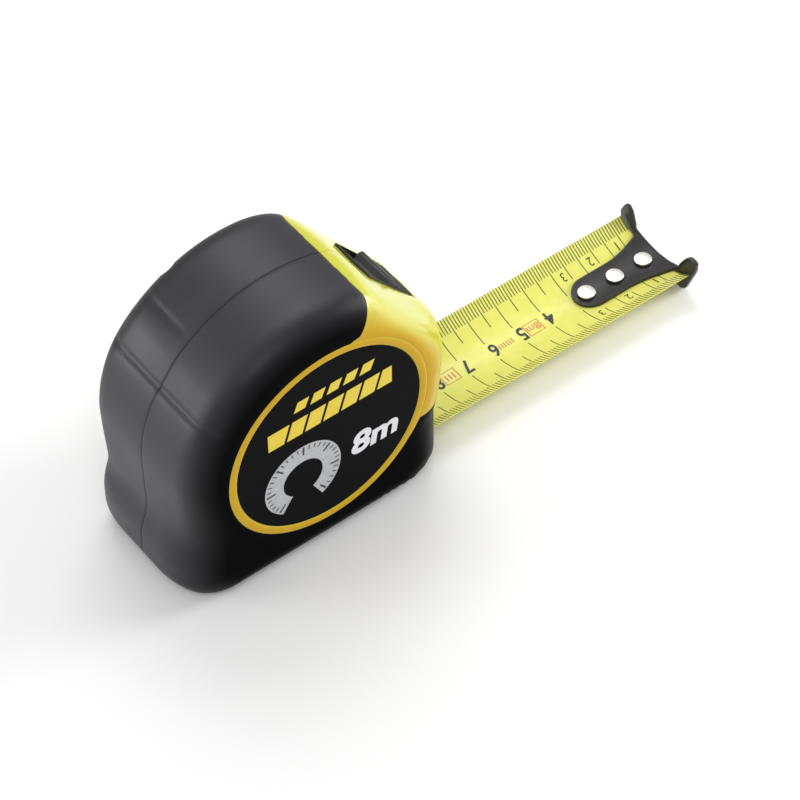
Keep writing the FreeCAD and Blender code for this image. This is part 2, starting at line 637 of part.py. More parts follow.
def drum_washers():
    near = REEL_WIDTH / 2 + WASHER_GAP
    far = AXLE_BOSS_REACH - WASHER_GAP
    return Part.makeCompound([cross_ring(POST_RADIUS + WASHER_REACH, POST_RADIUS + WASHER_GAP, y_range)
                              for y_range in ((-far, -near), (near, far))])


def spiral_points(shift):
    """Points a quarter turn apart on the spiral, moved outwards by a shift."""
    quarters = 4 * SPRING_TURNS
    growth = (SPRING_OUTER - SPRING_STRIP - SPRING_INNER) / quarters
    points = []
    for index in range(quarters + 1):
        x, z = polar(SPRING_INNER + growth * index + shift, 90.0 * index)
        points.append(on_side(x, AXIS_HEIGHT + z))
    return points


def power_spring():
    """Flat spiral spring between the post and the drum's rim, in half-turn arcs."""
    inner = spiral_points(0)
    outer = spiral_points(SPRING_STRIP)
    edges = []
    for line in (inner, outer):
        for k in range(0, len(line) - 2, 2):
            edges.append(Part.Arc(line[k], line[k + 1], line[k + 2]).toShape())
    for k in (0, -1):
        edges.append(Part.LineSegment(inner[k], outer[k]).toShape())
    face = Part.Face(Part.Wire(Part.__sortEdges__(edges)))
    return centred_prism(face, REEL_WIDTH - 2 * (2 * WEB_THICK + WELD))


def blade_coil():
    return cross_ring(COIL_RADIUS, HUB_RADIUS + CONTACT_GAP, (-BLADE_WIDTH / 2, BLADE_WIDTH / 2))


# ---- blade --------------------------------------------------------------------------------
def strip_section(x, underside, curve, thick):
    """Closed arc section of the blade, concave side up."""
    half_angle = BLADE_WIDTH / 2 / curve
    centre = underside + thick + curve

    def point(radius, angle):
        return Vector(x, radius * math.sin(angle), centre - radius * math.cos(angle))

    top = Part.Arc(point(curve, -half_angle), point(curve, 0), point(curve, half_angle))
    low = Part.Arc(point(curve + thick, half_angle), point(curve + thick, 0),
                   point(curve + thick, -half_angle))
    sides = [Part.LineSegment(point(curve, half_angle), point(curve + thick, half_angle)),
             Part.LineSegment(point(curve + thick, -half_angle), point(curve, -half_angle))]
    return Part.Wire([top.toShape(), sides[0].toShape(), low.toShape(), sides[1].toShape()])


def straight_strip(x_start, x_end):
    section = Part.Face(strip_section(x_start, BLADE_UNDERSIDE, BLADE_CURVE, BLADE_THICK))
    return section.extrude(Vector(x_end - x_start, 0, 0))


def blade_lead():
    """Stretch between the coil and the mouth, flat where it leaves the coil."""
    flat_sag = BLADE_WIDTH ** 2 / 8 / LEAD_FLAT_CURVE
    flat_underside = AXIS_HEIGHT - COIL_RADIUS - BLADE_THICK - flat_sag - CONTACT_GAP
    flat = strip_section(LEAD_START, flat_underside, LEAD_FLAT_CURVE, BLADE_THICK)
    curved = strip_section(LEAD_BEND_END, BLADE_UNDERSIDE, BLADE_CURVE, BLADE_THICK)
    ramp = Part.makeLoft([flat, curved], True, True)
    return ramp.fuse(straight_strip(LEAD_BEND_END, TIP_START))


def rivet_places():
    return [Vector(HOOK_REACH - setback, 0, 0) for setback in RIVET_SETBACKS]


def blade_tip():
    end = HOOK_REACH - END_PLATE_THICK - HOOK_PLAY - WASHER_GAP
    tip = straight_strip(TIP_START, end)
    for place in rivet_places():
        tip = tip.cut(Part.makeCylinder(RIVET_RADIUS + RUNNING_GAP, FAR, place))
    return tip


def hook_rivets():
    """Domed rivets that stand clear of the tang, so that the hook can slide under their heads."""
    tang_top = BLADE_AXIS_HEIGHT - (BLADE_CURVE - CONTACT_GAP - HOOK_THICK)
    head_seat = tang_top + 2 * WASHER_GAP
    tail_z = BLADE_UNDERSIDE - RIVET_TAIL_THICK - CONTACT_GAP
    dome = (RIVET_HEAD_RADIUS ** 2 + RIVET_HEAD_HEIGHT ** 2) / (2 * RIVET_HEAD_HEIGHT)
    rivets = []
    for place in rivet_places():
        tail = Part.makeCylinder(RIVET_HEAD_RADIUS - RIVET_TAIL_THICK, RIVET_TAIL_THICK,
                                 Vector(place.x, 0, tail_z))
        shank = Part.makeCylinder(RIVET_RADIUS, head_seat + CONTACT_GAP - tail_z,
                                  Vector(place.x, 0, tail_z))
        ball = Part.makeSphere(dome, Vector(place.x, 0, head_seat + RIVET_HEAD_HEIGHT - dome))
        head = ball.common(Part.makeCylinder(2 * RIVET_HEAD_RADIUS, FAR, Vector(place.x, 0, head_seat)))
        rivets.append(tail.fuse(shank).fuse(head))
    return Part.makeCompound(rivets)


# ---- end hook -------------------------------------------------------------------------------
def hook_tang():
    """Tang curved to the blade: rounded rear end, flared front."""
    half = HOOK_TANG_WIDTH / 2
    rear = HOOK_REACH - HOOK_TANG_LENGTH
    flare_start = HOOK_REACH - HOOK_FLARE_LENGTH
    front = HOOK_REACH - END_PLATE_THICK / 2
    pen = Outline((rear + half, -half), 0, on_plan)
    pen.line_to((flare_start, -half))
    pen.arc_to((front, -HOOK_FLARE))
    pen.line_to((front, HOOK_FLARE))
    pen.heading = 180 + math.degrees(2 * math.atan2(HOOK_FLARE - half, front - flare_start))
    pen.arc_to((flare_start, half))
    pen.line_to((rear + half, half))
    pen.turn_by(half, 180)
    plan = pen.face().extrude(Vector(0, 0, BLADE_AXIS_HEIGHT / 2))
    centre = Vector(rear, 0, BLADE_AXIS_HEIGHT)
    outer = Part.makeCylinder(BLADE_CURVE - CONTACT_GAP, FAR, centre, Vector(1, 0, 0))
    inner = Part.makeCylinder(BLADE_CURVE - CONTACT_GAP - HOOK_THICK, FAR, centre, Vector(1, 0, 0))
    return plan.common(outer.cut(inner))


def blade_height(y, above):
    """Height of the blade's upper face at a distance y from its middle, plus an offset."""
    return BLADE_AXIS_HEIGHT - math.sqrt((BLADE_CURVE - above) ** 2 - y ** 2)


def hook_plate():
    """End plate: two ears above the blade's edges and a toe below it."""
    ear_inner = HOOK_HALF_WIDTH - HOOK_EAR_WIDTH
    ear_root = HOOK_HALF_WIDTH - HOOK_EAR_ROOT
    cut = HOOK_EAR_CHAMFER
    points = [(0, blade_height(0, HOOK_THICK)),
              (HOOK_FLARE, blade_height(HOOK_FLARE, HOOK_THICK)),
              (ear_root, blade_height(ear_root, HOOK_THICK) + WELD),
              (ear_inner, HOOK_EAR_TOP - 1.6 * cut),
              (ear_inner + cut, HOOK_EAR_TOP),
              (HOOK_HALF_WIDTH - cut, HOOK_EAR_TOP),
              (HOOK_HALF_WIDTH, HOOK_EAR_TOP - 2 * cut),
              (HOOK_HALF_WIDTH - 0.4 * cut, BLADE_EDGE_HEIGHT - cut),
              (HOOK_FANG_OUTER + cut, HOOK_FANG_BOTTOM + 0.8 * cut),
              (HOOK_FANG_OUTER, HOOK_FANG_BOTTOM),
              (HOOK_FANG_INNER, HOOK_FANG_BOTTOM),
              (HOOK_NOTCH_HALF_WIDTH, HOOK_NOTCH_TOP),
              (0, HOOK_NOTCH_TOP)]
    other = [(-y, z) for y, z in reversed(points[1:-1])]
    plate = polygon(points + other, on_front).extrude(Vector(END_PLATE_THICK, 0, 0))
    plate.translate(Vector(HOOK_REACH - END_PLATE_THICK, 0, 0))
    return plate


def end_hook():
    """Hook with a slotted hole for each rivet, as long as its play."""
    hook = hook_tang().fuse(hook_plate())
    half = RIVET_RADIUS + RIVET_SLOT_ROOM
    height = BLADE_AXIS_HEIGHT / 2
    for place in rivet_places():
        slot = centred_box((place.x - HOOK_PLAY, place.x + HOOK_PLAY), half, (0, height))
        for end in (-HOOK_PLAY, HOOK_PLAY):
            slot = slot.fuse(Part.makeCylinder(half, height, Vector(place.x + end, 0, 0)))
        hook = hook.cut(slot)
    return hook.removeSplitter()


def build():
    nodes = case_and_grips()
    nodes["mouth_bumper"] = mouth_bumper()
    nodes["case_screws"] = case_screws()
    nodes["label_right"] = label(-1)
    nodes["label_left"] = label(1)
    nodes["belt_clip"] = belt_clip()
    nodes["clip_screw"] = clip_screw()
    nodes["center_post"] = center_post()
    nodes["drum"] = drum()
    nodes["drum_cover"] = drum_cover()
    nodes["drum_washers"] = drum_washers()
    nodes["power_spring"] = power_spring()
    nodes["blade_coil"] = blade_coil()
    nodes["blade_lead"] = blade_lead()
    nodes["blade_tip"] = blade_tip()
    nodes["hook_rivets"] = hook_rivets()
    nodes["end_hook"] = end_hook()
    nodes["lock_button"] = lock_button()
    nodes["brake_shoe"] = brake_shoe()
    return nodes


os.makedirs("parts", exist_ok=True)
for name, shape in build().items():
    print(name, shape.isValid(), len(shape.Solids), round(shape.Volume, 1))
    shape.exportStep(os.path.join("parts", name + ".step"))
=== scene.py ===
import math

import bmesh
import bpy
import numpy as np
from mathutils import Matrix, Vector


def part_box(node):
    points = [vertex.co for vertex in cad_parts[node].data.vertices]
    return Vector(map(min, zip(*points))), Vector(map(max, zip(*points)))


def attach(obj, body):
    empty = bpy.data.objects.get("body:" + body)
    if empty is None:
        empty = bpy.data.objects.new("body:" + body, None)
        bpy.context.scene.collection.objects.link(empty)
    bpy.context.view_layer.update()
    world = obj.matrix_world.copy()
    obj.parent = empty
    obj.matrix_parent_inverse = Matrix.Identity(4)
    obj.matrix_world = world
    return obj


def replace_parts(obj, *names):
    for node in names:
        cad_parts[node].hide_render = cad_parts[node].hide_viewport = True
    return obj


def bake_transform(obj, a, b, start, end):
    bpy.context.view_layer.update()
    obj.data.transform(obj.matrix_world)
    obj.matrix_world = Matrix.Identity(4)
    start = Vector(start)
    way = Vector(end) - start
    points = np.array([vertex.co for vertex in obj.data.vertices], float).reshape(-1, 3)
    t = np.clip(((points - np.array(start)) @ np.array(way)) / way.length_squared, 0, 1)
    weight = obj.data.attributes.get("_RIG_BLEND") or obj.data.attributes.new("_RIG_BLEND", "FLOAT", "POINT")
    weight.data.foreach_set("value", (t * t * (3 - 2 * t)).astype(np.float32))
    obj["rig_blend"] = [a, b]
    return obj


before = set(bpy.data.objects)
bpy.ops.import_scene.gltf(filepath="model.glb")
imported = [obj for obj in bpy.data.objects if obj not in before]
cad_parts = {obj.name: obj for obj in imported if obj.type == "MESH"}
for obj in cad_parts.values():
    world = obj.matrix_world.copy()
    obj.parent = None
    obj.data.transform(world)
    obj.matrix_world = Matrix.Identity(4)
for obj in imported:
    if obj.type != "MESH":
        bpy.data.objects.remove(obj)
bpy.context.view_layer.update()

# Sizes are in millimetres, in the frame's axes: +X along the blade, +Y the belt clip's side, +Z up.
MM = 0.001


def size_of(node):
    """Lowest and highest corner of a CAD node, in millimetres."""
    low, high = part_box(node)
    return np.array(low) / MM, np.array(high) / MM


GRIP_LOW, GRIP_HIGH = size_of("grip_right")
TIP_LOW, TIP_HIGH = size_of("blade_tip")
DRUM_LOW, DRUM_HIGH = size_of("drum")
LEAD_LOW = size_of("blade_lead")[0]
HOOK_HIGH = size_of("end_hook")[1]
BUMPER_HIGH = size_of("mouth_bumper")[1]
AXIS_Z = (DRUM_LOW[2] + DRUM_HIGH[2]) / 2
HALF_WIDTH = -GRIP_LOW[1]
BACK_RADIUS = GRIP_HIGH[2] - AXIS_Z
REAR = -GRIP_LOW[0]
NOSE = size_of("case_right")[1][0]
RING_OUTER = 32.0
LABEL_RADIUS = size_of("label_right")[1][0]


# ---- materials ----
class Nodes:
    """Short-hand for building a node material round one Principled shader."""

    def __init__(self, name):
        self.material = bpy.data.materials.new(name)
        self.material.use_nodes = True
        self.tree = self.material.node_tree
        self.shader = self.tree.nodes["Principled BSDF"]

    def add(self, kind, values=None, **settings):
        node = self.tree.nodes.new(kind)
        for key, value in settings.items():
            setattr(node, key, value)
        for key, value in (values or {}).items():
            self.put(value, node.inputs[key])
        return node

    def put(self, value, socket):
        if isinstance(value, bpy.types.NodeSocket):
            self.tree.links.new(value, socket)
        else:
            socket.default_value = value

    def math(self, operation, first, second=0.0):
        return self.add("ShaderNodeMath", {0: first, 1: second}, operation=operation).outputs[0]

    def noise(self, scale, detail=3.0, stretch=(1, 1, 1)):
        """Noise in the object's own space; scale is features per metre."""
        place = self.add("ShaderNodeTexCoord").outputs["Object"]
        mapped = self.add("ShaderNodeMapping", {"Vector": place, "Scale": stretch}).outputs[0]
        made = self.add("ShaderNodeTexNoise", {"Vector": mapped, "Scale": scale, "Detail": detail})
        return made.outputs["Fac"]

    def ramp(self, value, low, high, start=0.3, end=0.7):
        """Maps start..end, where most of a noise lies, to a range of numbers."""
        made = self.add("ShaderNodeMapRange", {"Value": value, "From Min": start, "From Max": end,
                                               "To Min": low, "To Max": high})
        return made.outputs[0]

    def mix(self, factor, first, second):
        """Mixes two colours. The mix node's colour sockets are known by number only."""
        made = self.add("ShaderNodeMix", data_type="RGBA")
        self.put(factor, made.inputs[0])
        self.put(first, made.inputs[6])
        self.put(second, made.inputs[7])
        return made.outputs[2]

    def sideways(self, power):
        """0 where the surface faces along the case, 1 where it faces out to a side."""
        # This mask carries the painted side shade of the rubber and the yellow moulding.
        normal = self.add("ShaderNodeNewGeometry").outputs["Normal"]
        facing = self.add("ShaderNodeSeparateXYZ", {0: normal}).outputs["Y"]
        return self.math("POWER", self.math("ABSOLUTE", facing), power)

    def bump(self, height, depth, normal=None):
        values = {"Height": height, "Distance": depth * MM, "Strength": 1.0}
        if normal is not None:
            values["Normal"] = normal
        return self.add("ShaderNodeBump", values).outputs[0]

    def finish(self, **sockets):
        for key, value in sockets.items():
            self.put(value, self.shader.inputs[key.replace("_", " ")])
        return self.material


def colour(red, green, blue):
    return (red, green, blue, 1.0)


def rubber(name, base, lighter, roughness):
    """Moulded rubber: grained along the case, with rubbed patches, and painted shade on its sides: faces that
    look out sideways are mixed towards near-black and given less shine.
    """
    n = Nodes(name)
    patches = n.noise(55, 4)
    grain = n.noise(2600, 2)
    waves = n.noise(140, 2)
    side = n.sideways(1.15)
    # painted shade: side-facing faces are mixed towards near-black
    tone = n.mix(side, n.mix(n.ramp(patches, 0, 1), base, lighter), colour(0.002, 0.002, 0.0022))
    # painted shade: side-facing faces are also given less shine
    shine = n.ramp(side, 0.28, 0.01, 0, 1)
    bump = n.bump(waves, 0.03, n.bump(grain, 0.012))
    return n.finish(Base_Color=tone, Roughness=n.ramp(patches, roughness - 0.05, roughness + 0.06),
                    Specular_IOR_Level=shine, Normal=bump)


def gloss_plastic():
    """Yellow moulding: glossy, faint flow marks and handling haze, with painted shade on the faces that look
    out to the sides, which are mixed towards a darker orange and given less shine and lacquer.
    """
    n = Nodes("yellow_moulding")
    side = n.sideways(3.0)
    # painted shade: side-facing faces are mixed towards a darker orange
    tone = n.mix(side, colour(0.58, 0.59, 0.03), colour(0.62, 0.36, 0.006))
    # painted shade: side-facing faces are also given less shine and lacquer
    shine = n.ramp(side, 0.5, 0.12, 0, 1)
    lacquer = n.ramp(side, 0.4, 0.02, 0, 1)
    cloud = n.mix(n.ramp(n.noise(90, 3), 0, 0.10), tone, colour(0.62, 0.52, 0.02))
    haze = n.ramp(n.noise(420, 5), 0.13, 0.24)
    bump = n.bump(n.noise(220, 2), 0.02, n.bump(n.noise(3200, 2), 0.002))
    return n.finish(Base_Color=cloud, Roughness=haze, Normal=bump, Coat_Weight=lacquer,
                    Coat_Roughness=0.06, Specular_IOR_Level=shine)


def label_film():
    """Black printed film, hazy and finely scratched."""
    n = Nodes("label_black_film")
    scratch = n.noise(900, 2, (1, 1, 14))
    haze = n.ramp(n.noise(160, 5), 0.10, 0.20)
    tone = n.mix(n.ramp(scratch, 0, 1), colour(0.003, 0.003, 0.0035), colour(0.005, 0.005, 0.006))
    return n.finish(Base_Color=tone, Roughness=haze, Normal=n.bump(scratch, 0.002),
                    Specular_IOR_Level=0.02)


def ink(name, tone, worn, roughness=0.3):
    """Printed ink, a little uneven."""
    n = Nodes(name)
    mixed = n.mix(n.ramp(n.noise(700, 4), 0, 1), tone, worn)
    return n.finish(Base_Color=mixed, Roughness=roughness, Normal=n.bump(n.noise(2500, 2), 0.003))


def metal(name, tone, worn, roughness, stretch=(1, 1, 1), metallic=1.0, depth=0.006):
    """Metal or coated metal, brushed along the axis whose stretch is smallest."""
    n = Nodes(name)
    brushed = n.noise(1500, 3, stretch)
    patches = n.noise(120, 5)
    mixed = n.mix(n.ramp(patches, 0, 1), tone, worn)
    return n.finish(Base_Color=mixed, Metallic=metallic, Normal=n.bump(brushed, depth),
                    Roughness=n.ramp(brushed, roughness - 0.05, roughness + 0.09))


def plastic(name, base, lighter, roughness):
    """Fine-textured moulded plastic, a little uneven in tone."""
    n = Nodes(name)
    mixed = n.mix(n.ramp(n.noise(200, 4), 0, 1), base, lighter)
    return n.finish(Base_Color=mixed, Roughness=n.ramp(n.noise(500, 4), roughness, roughness + 0.12),
                    Normal=n.bump(n.noise(3000, 2), 0.008))


# Lengths of the marks from each edge of the blade, and half of a mark's width.
TICK_FAR = {1: 4.6, 5: 9.0, 10: 12.6}
TICK_NEAR = {1: 4.4, 5: 8.6, 10: 12.4}
TICK_HALF = 0.15
BLADE_HALF = 16.0
SCALE_ZERO = HOOK_HIGH[0] - 1.2  # inner face of the hook's end plate


def blade_print():
    """Yellow coating with millimetre, half-centimetre and centimetre marks along both edges.

    They are worked out from the point's place less the distance the blade was pulled.
    """
    n = Nodes("blade_yellow_print")
    place = n.add("ShaderNodeSeparateXYZ", {0: n.add("ShaderNodeNewGeometry").outputs["Position"]})
    drawn = n.add("ShaderNodeAttribute", attribute_name="rest_x").outputs["Fac"]
    across = n.add("ShaderNodeAttribute", attribute_name="across").outputs["Fac"]
    follow = n.add("ShaderNodeAttribute", attribute_name="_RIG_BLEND").outputs["Fac"]
    here = n.math("MULTIPLY", place.outputs["X"], 1 / MM)
    pulled = n.math("DIVIDE", n.math("SUBTRACT", here, drawn), n.math("MAXIMUM", follow, 0.02))
    reading = n.math("SUBTRACT", SCALE_ZERO, n.math("SUBTRACT", here, pulled))
    marks = None
    for step in (1, 5, 10):
        phase = n.math("FRACT", n.math("ADD", n.math("DIVIDE", reading, float(step)), 0.5))
        away = n.math("MULTIPLY", n.math("ABSOLUTE", n.math("SUBTRACT", phase, 0.5)), float(step))
        line = n.math("LESS_THAN", away, TICK_HALF)
        far = n.math("GREATER_THAN", across, BLADE_HALF - TICK_FAR[step])
        near = n.math("LESS_THAN", across, -BLADE_HALF + TICK_NEAR[step])
        mark = n.math("MULTIPLY", line, n.math("MAXIMUM", far, near))
        marks = mark if marks is None else n.math("MAXIMUM", marks, mark)
    coating = n.mix(n.ramp(n.noise(300, 5), 0, 1), colour(0.80, 0.79, 0.17), colour(0.75, 0.74, 0.13))
    tone = n.mix(marks, coating, colour(0.035, 0.04, 0.012))
    grain = n.noise(2200, 3, (0.15, 1, 1))
    return n.finish(Base_Color=tone, Roughness=n.ramp(grain, 0.30, 0.42), Coat_Weight=0.25,
                    Coat_Roughness=0.2, Normal=n.bump(grain, 0.002))


RUBBER = rubber("grip_rubber_black", colour(0.036, 0.035, 0.041), colour(0.042, 0.041, 0.047), 0.40)
BUMPER = rubber("bumper_rubber_black", colour(0.010, 0.010, 0.011), colour(0.016, 0.016, 0.017), 0.55)
YELLOW = gloss_plastic()
LABEL = label_film()
PRINT_YELLOW = ink("print_yellow", colour(0.85, 0.66, 0.02), colour(0.80, 0.60, 0.02))
PRINT_WHITE = ink("print_white", colour(0.84, 0.84, 0.86), colour(0.74, 0.74, 0.77))
PRINT_GREY = ink("print_grey", colour(0.52, 0.53, 0.55), colour(0.43, 0.44, 0.46))
PRINT_BLACK = ink("print_black", colour(0.016, 0.016, 0.014), colour(0.03, 0.03, 0.025), 0.4)
PRINT_RED = ink("print_red", colour(0.62, 0.10, 0.03), colour(0.66, 0.20, 0.06), 0.4)
BLADE = blade_print()
BLADE_BACK = ink("blade_yellow_back", colour(0.74, 0.71, 0.10), colour(0.66, 0.63, 0.09), 0.42)
HOOK_STEEL = metal("hook_black_oxide", colour(0.022, 0.020, 0.022), colour(0.034, 0.032, 0.034), 0.30,
                   metallic=0.2, depth=0.0015)
RIVET_STEEL = metal("rivet_nickel", colour(0.90, 0.87, 0.84), colour(0.80, 0.77, 0.73), 0.34)
LOCK_PLASTIC = plastic("lock_black_plastic", colour(0.014, 0.013, 0.013), colour(0.022, 0.02, 0.02), 0.36)
CLIP_STEEL = metal("clip_brushed_steel", colour(0.50, 0.50, 0.52), colour(0.42, 0.42, 0.44), 0.30,
                   (1, 1, 0.06))
SCREW_STEEL = metal("screw_zinc", colour(0.42, 0.42, 0.44), colour(0.30, 0.30, 0.32), 0.34)
POST_STEEL = metal("post_turned_steel", colour(0.55, 0.55, 0.57), colour(0.45, 0.45, 0.47), 0.28,
                   (1, 0.05, 1))
SPRING_STEEL = metal("spring_blued_steel", colour(0.16, 0.19, 0.27), colour(0.24, 0.26, 0.31), 0.30,
                     (1, 0.08, 1))
DRUM_PLASTIC = plastic("drum_black_plastic", colour(0.03, 0.03, 0.032), colour(0.05, 0.05, 0.052), 0.4)


# ---- making pieces ----
def settle(obj):
    """Turns the object's modifiers into its mesh."""
    graph = bpy.context.evaluated_depsgraph_get()
    made = bpy.data.meshes.new_from_object(obj.evaluated_get(graph))
    obj.modifiers.clear()
    obj.data = made
    return obj


def new_object(name, data):
    obj = bpy.data.objects.new(name, data)
    bpy.context.scene.collection.objects.link(obj)
    return obj


def piece(name, points, faces, material, attributes=None):
    """A smooth-shaded mesh object from points in millimetres."""
    mesh = bpy.data.meshes.new(name)
    mesh.from_pydata([tuple(p) for p in np.asarray(points, float) * MM], [], faces)
    mesh.materials.append(material)
    for key, values in (attributes or {}).items():
        mesh.attributes.new(key, "FLOAT", "POINT").data.foreach_set("value", values)
    mesh.shade_smooth()
    return new_object(name, mesh)


def face_outwards(obj):
    """Makes a closed mesh's faces look outwards."""
    form = bmesh.new()
    form.from_mesh(obj.data)
    bmesh.ops.remove_doubles(form, verts=form.verts, dist=1e-7)
    bmesh.ops.recalc_face_normals(form, faces=form.faces)
    form.to_mesh(obj.data)
    form.free()
    return obj


def thicken(obj, depth, backing=0):
    """Gives an open surface a wall, inwards from its faces. Backing is the wall's material number."""
    wall = obj.modifiers.new("wall", "SOLIDIFY")
    wall.thickness = depth * MM
    wall.offset = -1.0
    wall.use_even_offset = False
    wall.material_offset = backing
    wall.material_offset_rim = backing
    return settle(obj)


def round_edges(obj, radius, segments=2, angle=40.0):
    """Rounds the edges that are sharper than the angle."""
    bevel = obj.modifiers.new("round", "BEVEL")
    bevel.width = radius * MM
    bevel.segments = segments
    bevel.limit_method = "ANGLE"
    bevel.angle_limit = math.radians(angle)
    bevel.harden_normals = False
    return settle(obj)


def grid_faces(rows, columns, skip=None, flip=False):
    """Quads of a rows x columns grid, apart from the cells that skip(row, column) names."""
    faces = []
    for r in range(rows - 1):
        for c in range(columns - 1):
            if skip is not None and skip(r, c):
                continue
            quad = (r * columns + c, r * columns + c + 1, (r + 1) * columns + c + 1, (r + 1) * columns + c)
            faces.append(quad[::-1] if flip else quad)
    return faces


def smoothstep(low, high, value):
    """0 below low, 1 above high, with a soft step between."""
    t = np.clip((np.asarray(value, float) - low) / (high - low), 0, 1)
    return t * t * (3 - 2 * t)


# ---- form of the case ----
FOOT_ROUND = 8.0
FLARE_BOTTOM, FLARE_TOP = 12.0, 26.0  # heights between which the heel runs into the back
TOP_ARC_END = 69.0  # degrees above +X, seen from the axis
BROW = (7.7, -5.9)  # from the top arc's end
SLOPE = (12.0, -15.1)  # from the brow
NOSE_TIP = (-1.0, 8.5)  # from the nose's front and the axis
CHIN_DROP = 2.0
NOSE_CURVE = 30.0
NOSE_CORNER_TURN = math.radians(50.0)
NOSE_LIMIT = RING_OUTER + 0.5

# Edge roundings on the photo's side (-1) and on the clip's side (1), which is squarer.
EDGE_ROUND = {-1: 7.5, 1: 4.5}
CROWN_ROUND = {-1: 0.0, 1: 2.0}  # added to the edge rounding at the top of the case
REAR_ROUND = {-1: 17.0, 1: 13.0}
FOOT_DEPTH = {-1: 8.5, 1: 3.6}
REAR_SHARE = 0.45  # depth of the rear's rounding over the edge's
BACK_SHARE = 0.35  # share of the rear's rounding that is left up the back
NOSE_SOFTENING = 0.55  # how much less the upper edges round at the nose
FOOT_FADE = 14  # height over the base from which the rear's deeper rounding fades
BASE_FADE = 19  # height over the base at which the base's rounding has gone
CROWN_FADE, UPPER_FADE = (18, 42), (-34, -8)  # heights over the axis between which they set in


def arc_to(points, heading, end, steps=30):
    """Adds an arc that leaves along the heading and ends at a point. Returns the new heading."""
    start = np.array(points[-1], float)
    chord = np.array(end, float) - start
    turn = (math.atan2(chord[1], chord[0]) - heading + math.pi) % (2 * math.pi) - math.pi
    if abs(turn) < 1e-4:
        points.extend(start + chord * k / steps for k in range(1, steps + 1))
        return heading
    radius = np.hypot(*chord) / (2 * math.sin(turn))
    for k in range(1, steps + 1):
        angle = heading + 2 * turn * k / steps
        points.append(start + radius * np.array([math.sin(angle) - math.sin(heading),
                                                 math.cos(heading) - math.cos(angle)]))
    return heading + 2 * turn


def side_profile():
    """Side view of the case as points, counter-clockwise from the rear of the base, and its brow."""
    top = np.array([BACK_RADIUS * math.cos(math.radians(TOP_ARC_END)),
                    AXIS_Z + BACK_RADIUS * math.sin(math.radians(TOP_ARC_END))])
    points = [np.array([-REAR + FOOT_ROUND, 0.0])]
    heading = arc_to(points, math.pi, (-REAR, FOOT_ROUND))
    heading = arc_to(points, heading, (-REAR, FLARE_BOTTOM), 6)
    heading = arc_to(points, heading, (-(REAR + BACK_RADIUS) / 2, (FLARE_BOTTOM + FLARE_TOP) / 2))
    heading = arc_to(points, heading, (-BACK_RADIUS, FLARE_TOP))
    heading = arc_to(points, math.pi / 2, (-BACK_RADIUS, AXIS_Z))
    heading = arc_to(points, heading, top, 120)
    brow = top + np.array(BROW)
    heading = arc_to(points, heading, brow)
    heading = arc_to(points, heading, brow + np.array(SLOPE), 40)
    heading = arc_to(points, heading, (NOSE + NOSE_TIP[0], AXIS_Z + NOSE_TIP[1]))
    arc_to(points, heading, (NOSE, AXIS_Z - CHIN_DROP))
    heading = arc_to(points, -math.pi / 2, (NOSE, FOOT_ROUND), 40)
    heading = arc_to(points, heading, (NOSE - FOOT_ROUND, 0.0))
    arc_to(points, heading, points[0], 80)
    return np.array(points[::-1]), brow


PROFILE, BROW_POINT = side_profile()
STEPS = np.hypot(*np.diff(PROFILE, axis=0).T)
RUN = np.concatenate([[0], np.cumsum(STEPS)])
PERIMETER = RUN[-1]


def run_of_point(x, z):
    """Distance along the profile to its point nearest (x, z)."""
    return RUN[np.argmin(np.hypot(PROFILE[:, 0] - x, PROFILE[:, 1] - z))]


def run_of_angle(degrees):
    """Distance along the profile to the point seen at an angle above +X from the axis."""
    ray = np.arctan2(PROFILE[:, 1] - AXIS_Z, PROFILE[:, 0])
    off = (ray - math.radians(degrees) + math.pi) % (2 * math.pi) - math.pi
    return RUN[np.argmin(np.abs(off))]


def profile_at(run):
    """Points and outward normals of the profile at distances along it."""
    reach = 0.4

    def at(distance):
        distance = np.mod(distance, PERIMETER)
        xs = np.interp(distance, RUN, PROFILE[:, 0])
        zs = np.interp(distance, RUN, PROFILE[:, 1])
        return np.stack([xs, zs], -1)

    along = at(run + reach) - at(run - reach)
    along /= np.linalg.norm(along, axis=-1, keepdims=True)
    return at(run), np.stack([along[..., 1], -along[..., 0]], -1)


def plan_inset(y):
    """How far the bowed nose lies behind its front at a distance y from the middle."""
    turn = math.pi / 2 - NOSE_CORNER_TURN
    bow_end = NOSE_CURVE * math.sin(turn)
    bow_depth = NOSE_CURVE * (1 - math.cos(turn))
    corner = (HALF_WIDTH - bow_end) / (1 - math.cos(NOSE_CORNER_TURN))
    centre_depth = bow_depth + corner * math.sin(NOSE_CORNER_TURN)
    bow = NOSE_CURVE - math.sqrt(max(NOSE_CURVE ** 2 - y ** 2, 0))
    rise = min(max(y - (HALF_WIDTH - corner), 0), corner)
    return bow if y < bow_end else centre_depth - math.sqrt(max(corner ** 2 - rise ** 2, 0))


def round_share(y, radius):
    """Share of an edge rounding's depth reached at a distance y from the middle."""
    t = np.clip((y - (HALF_WIDTH - radius)) / radius, 0, 1)
    return 1 - np.sqrt(1 - t ** 2)


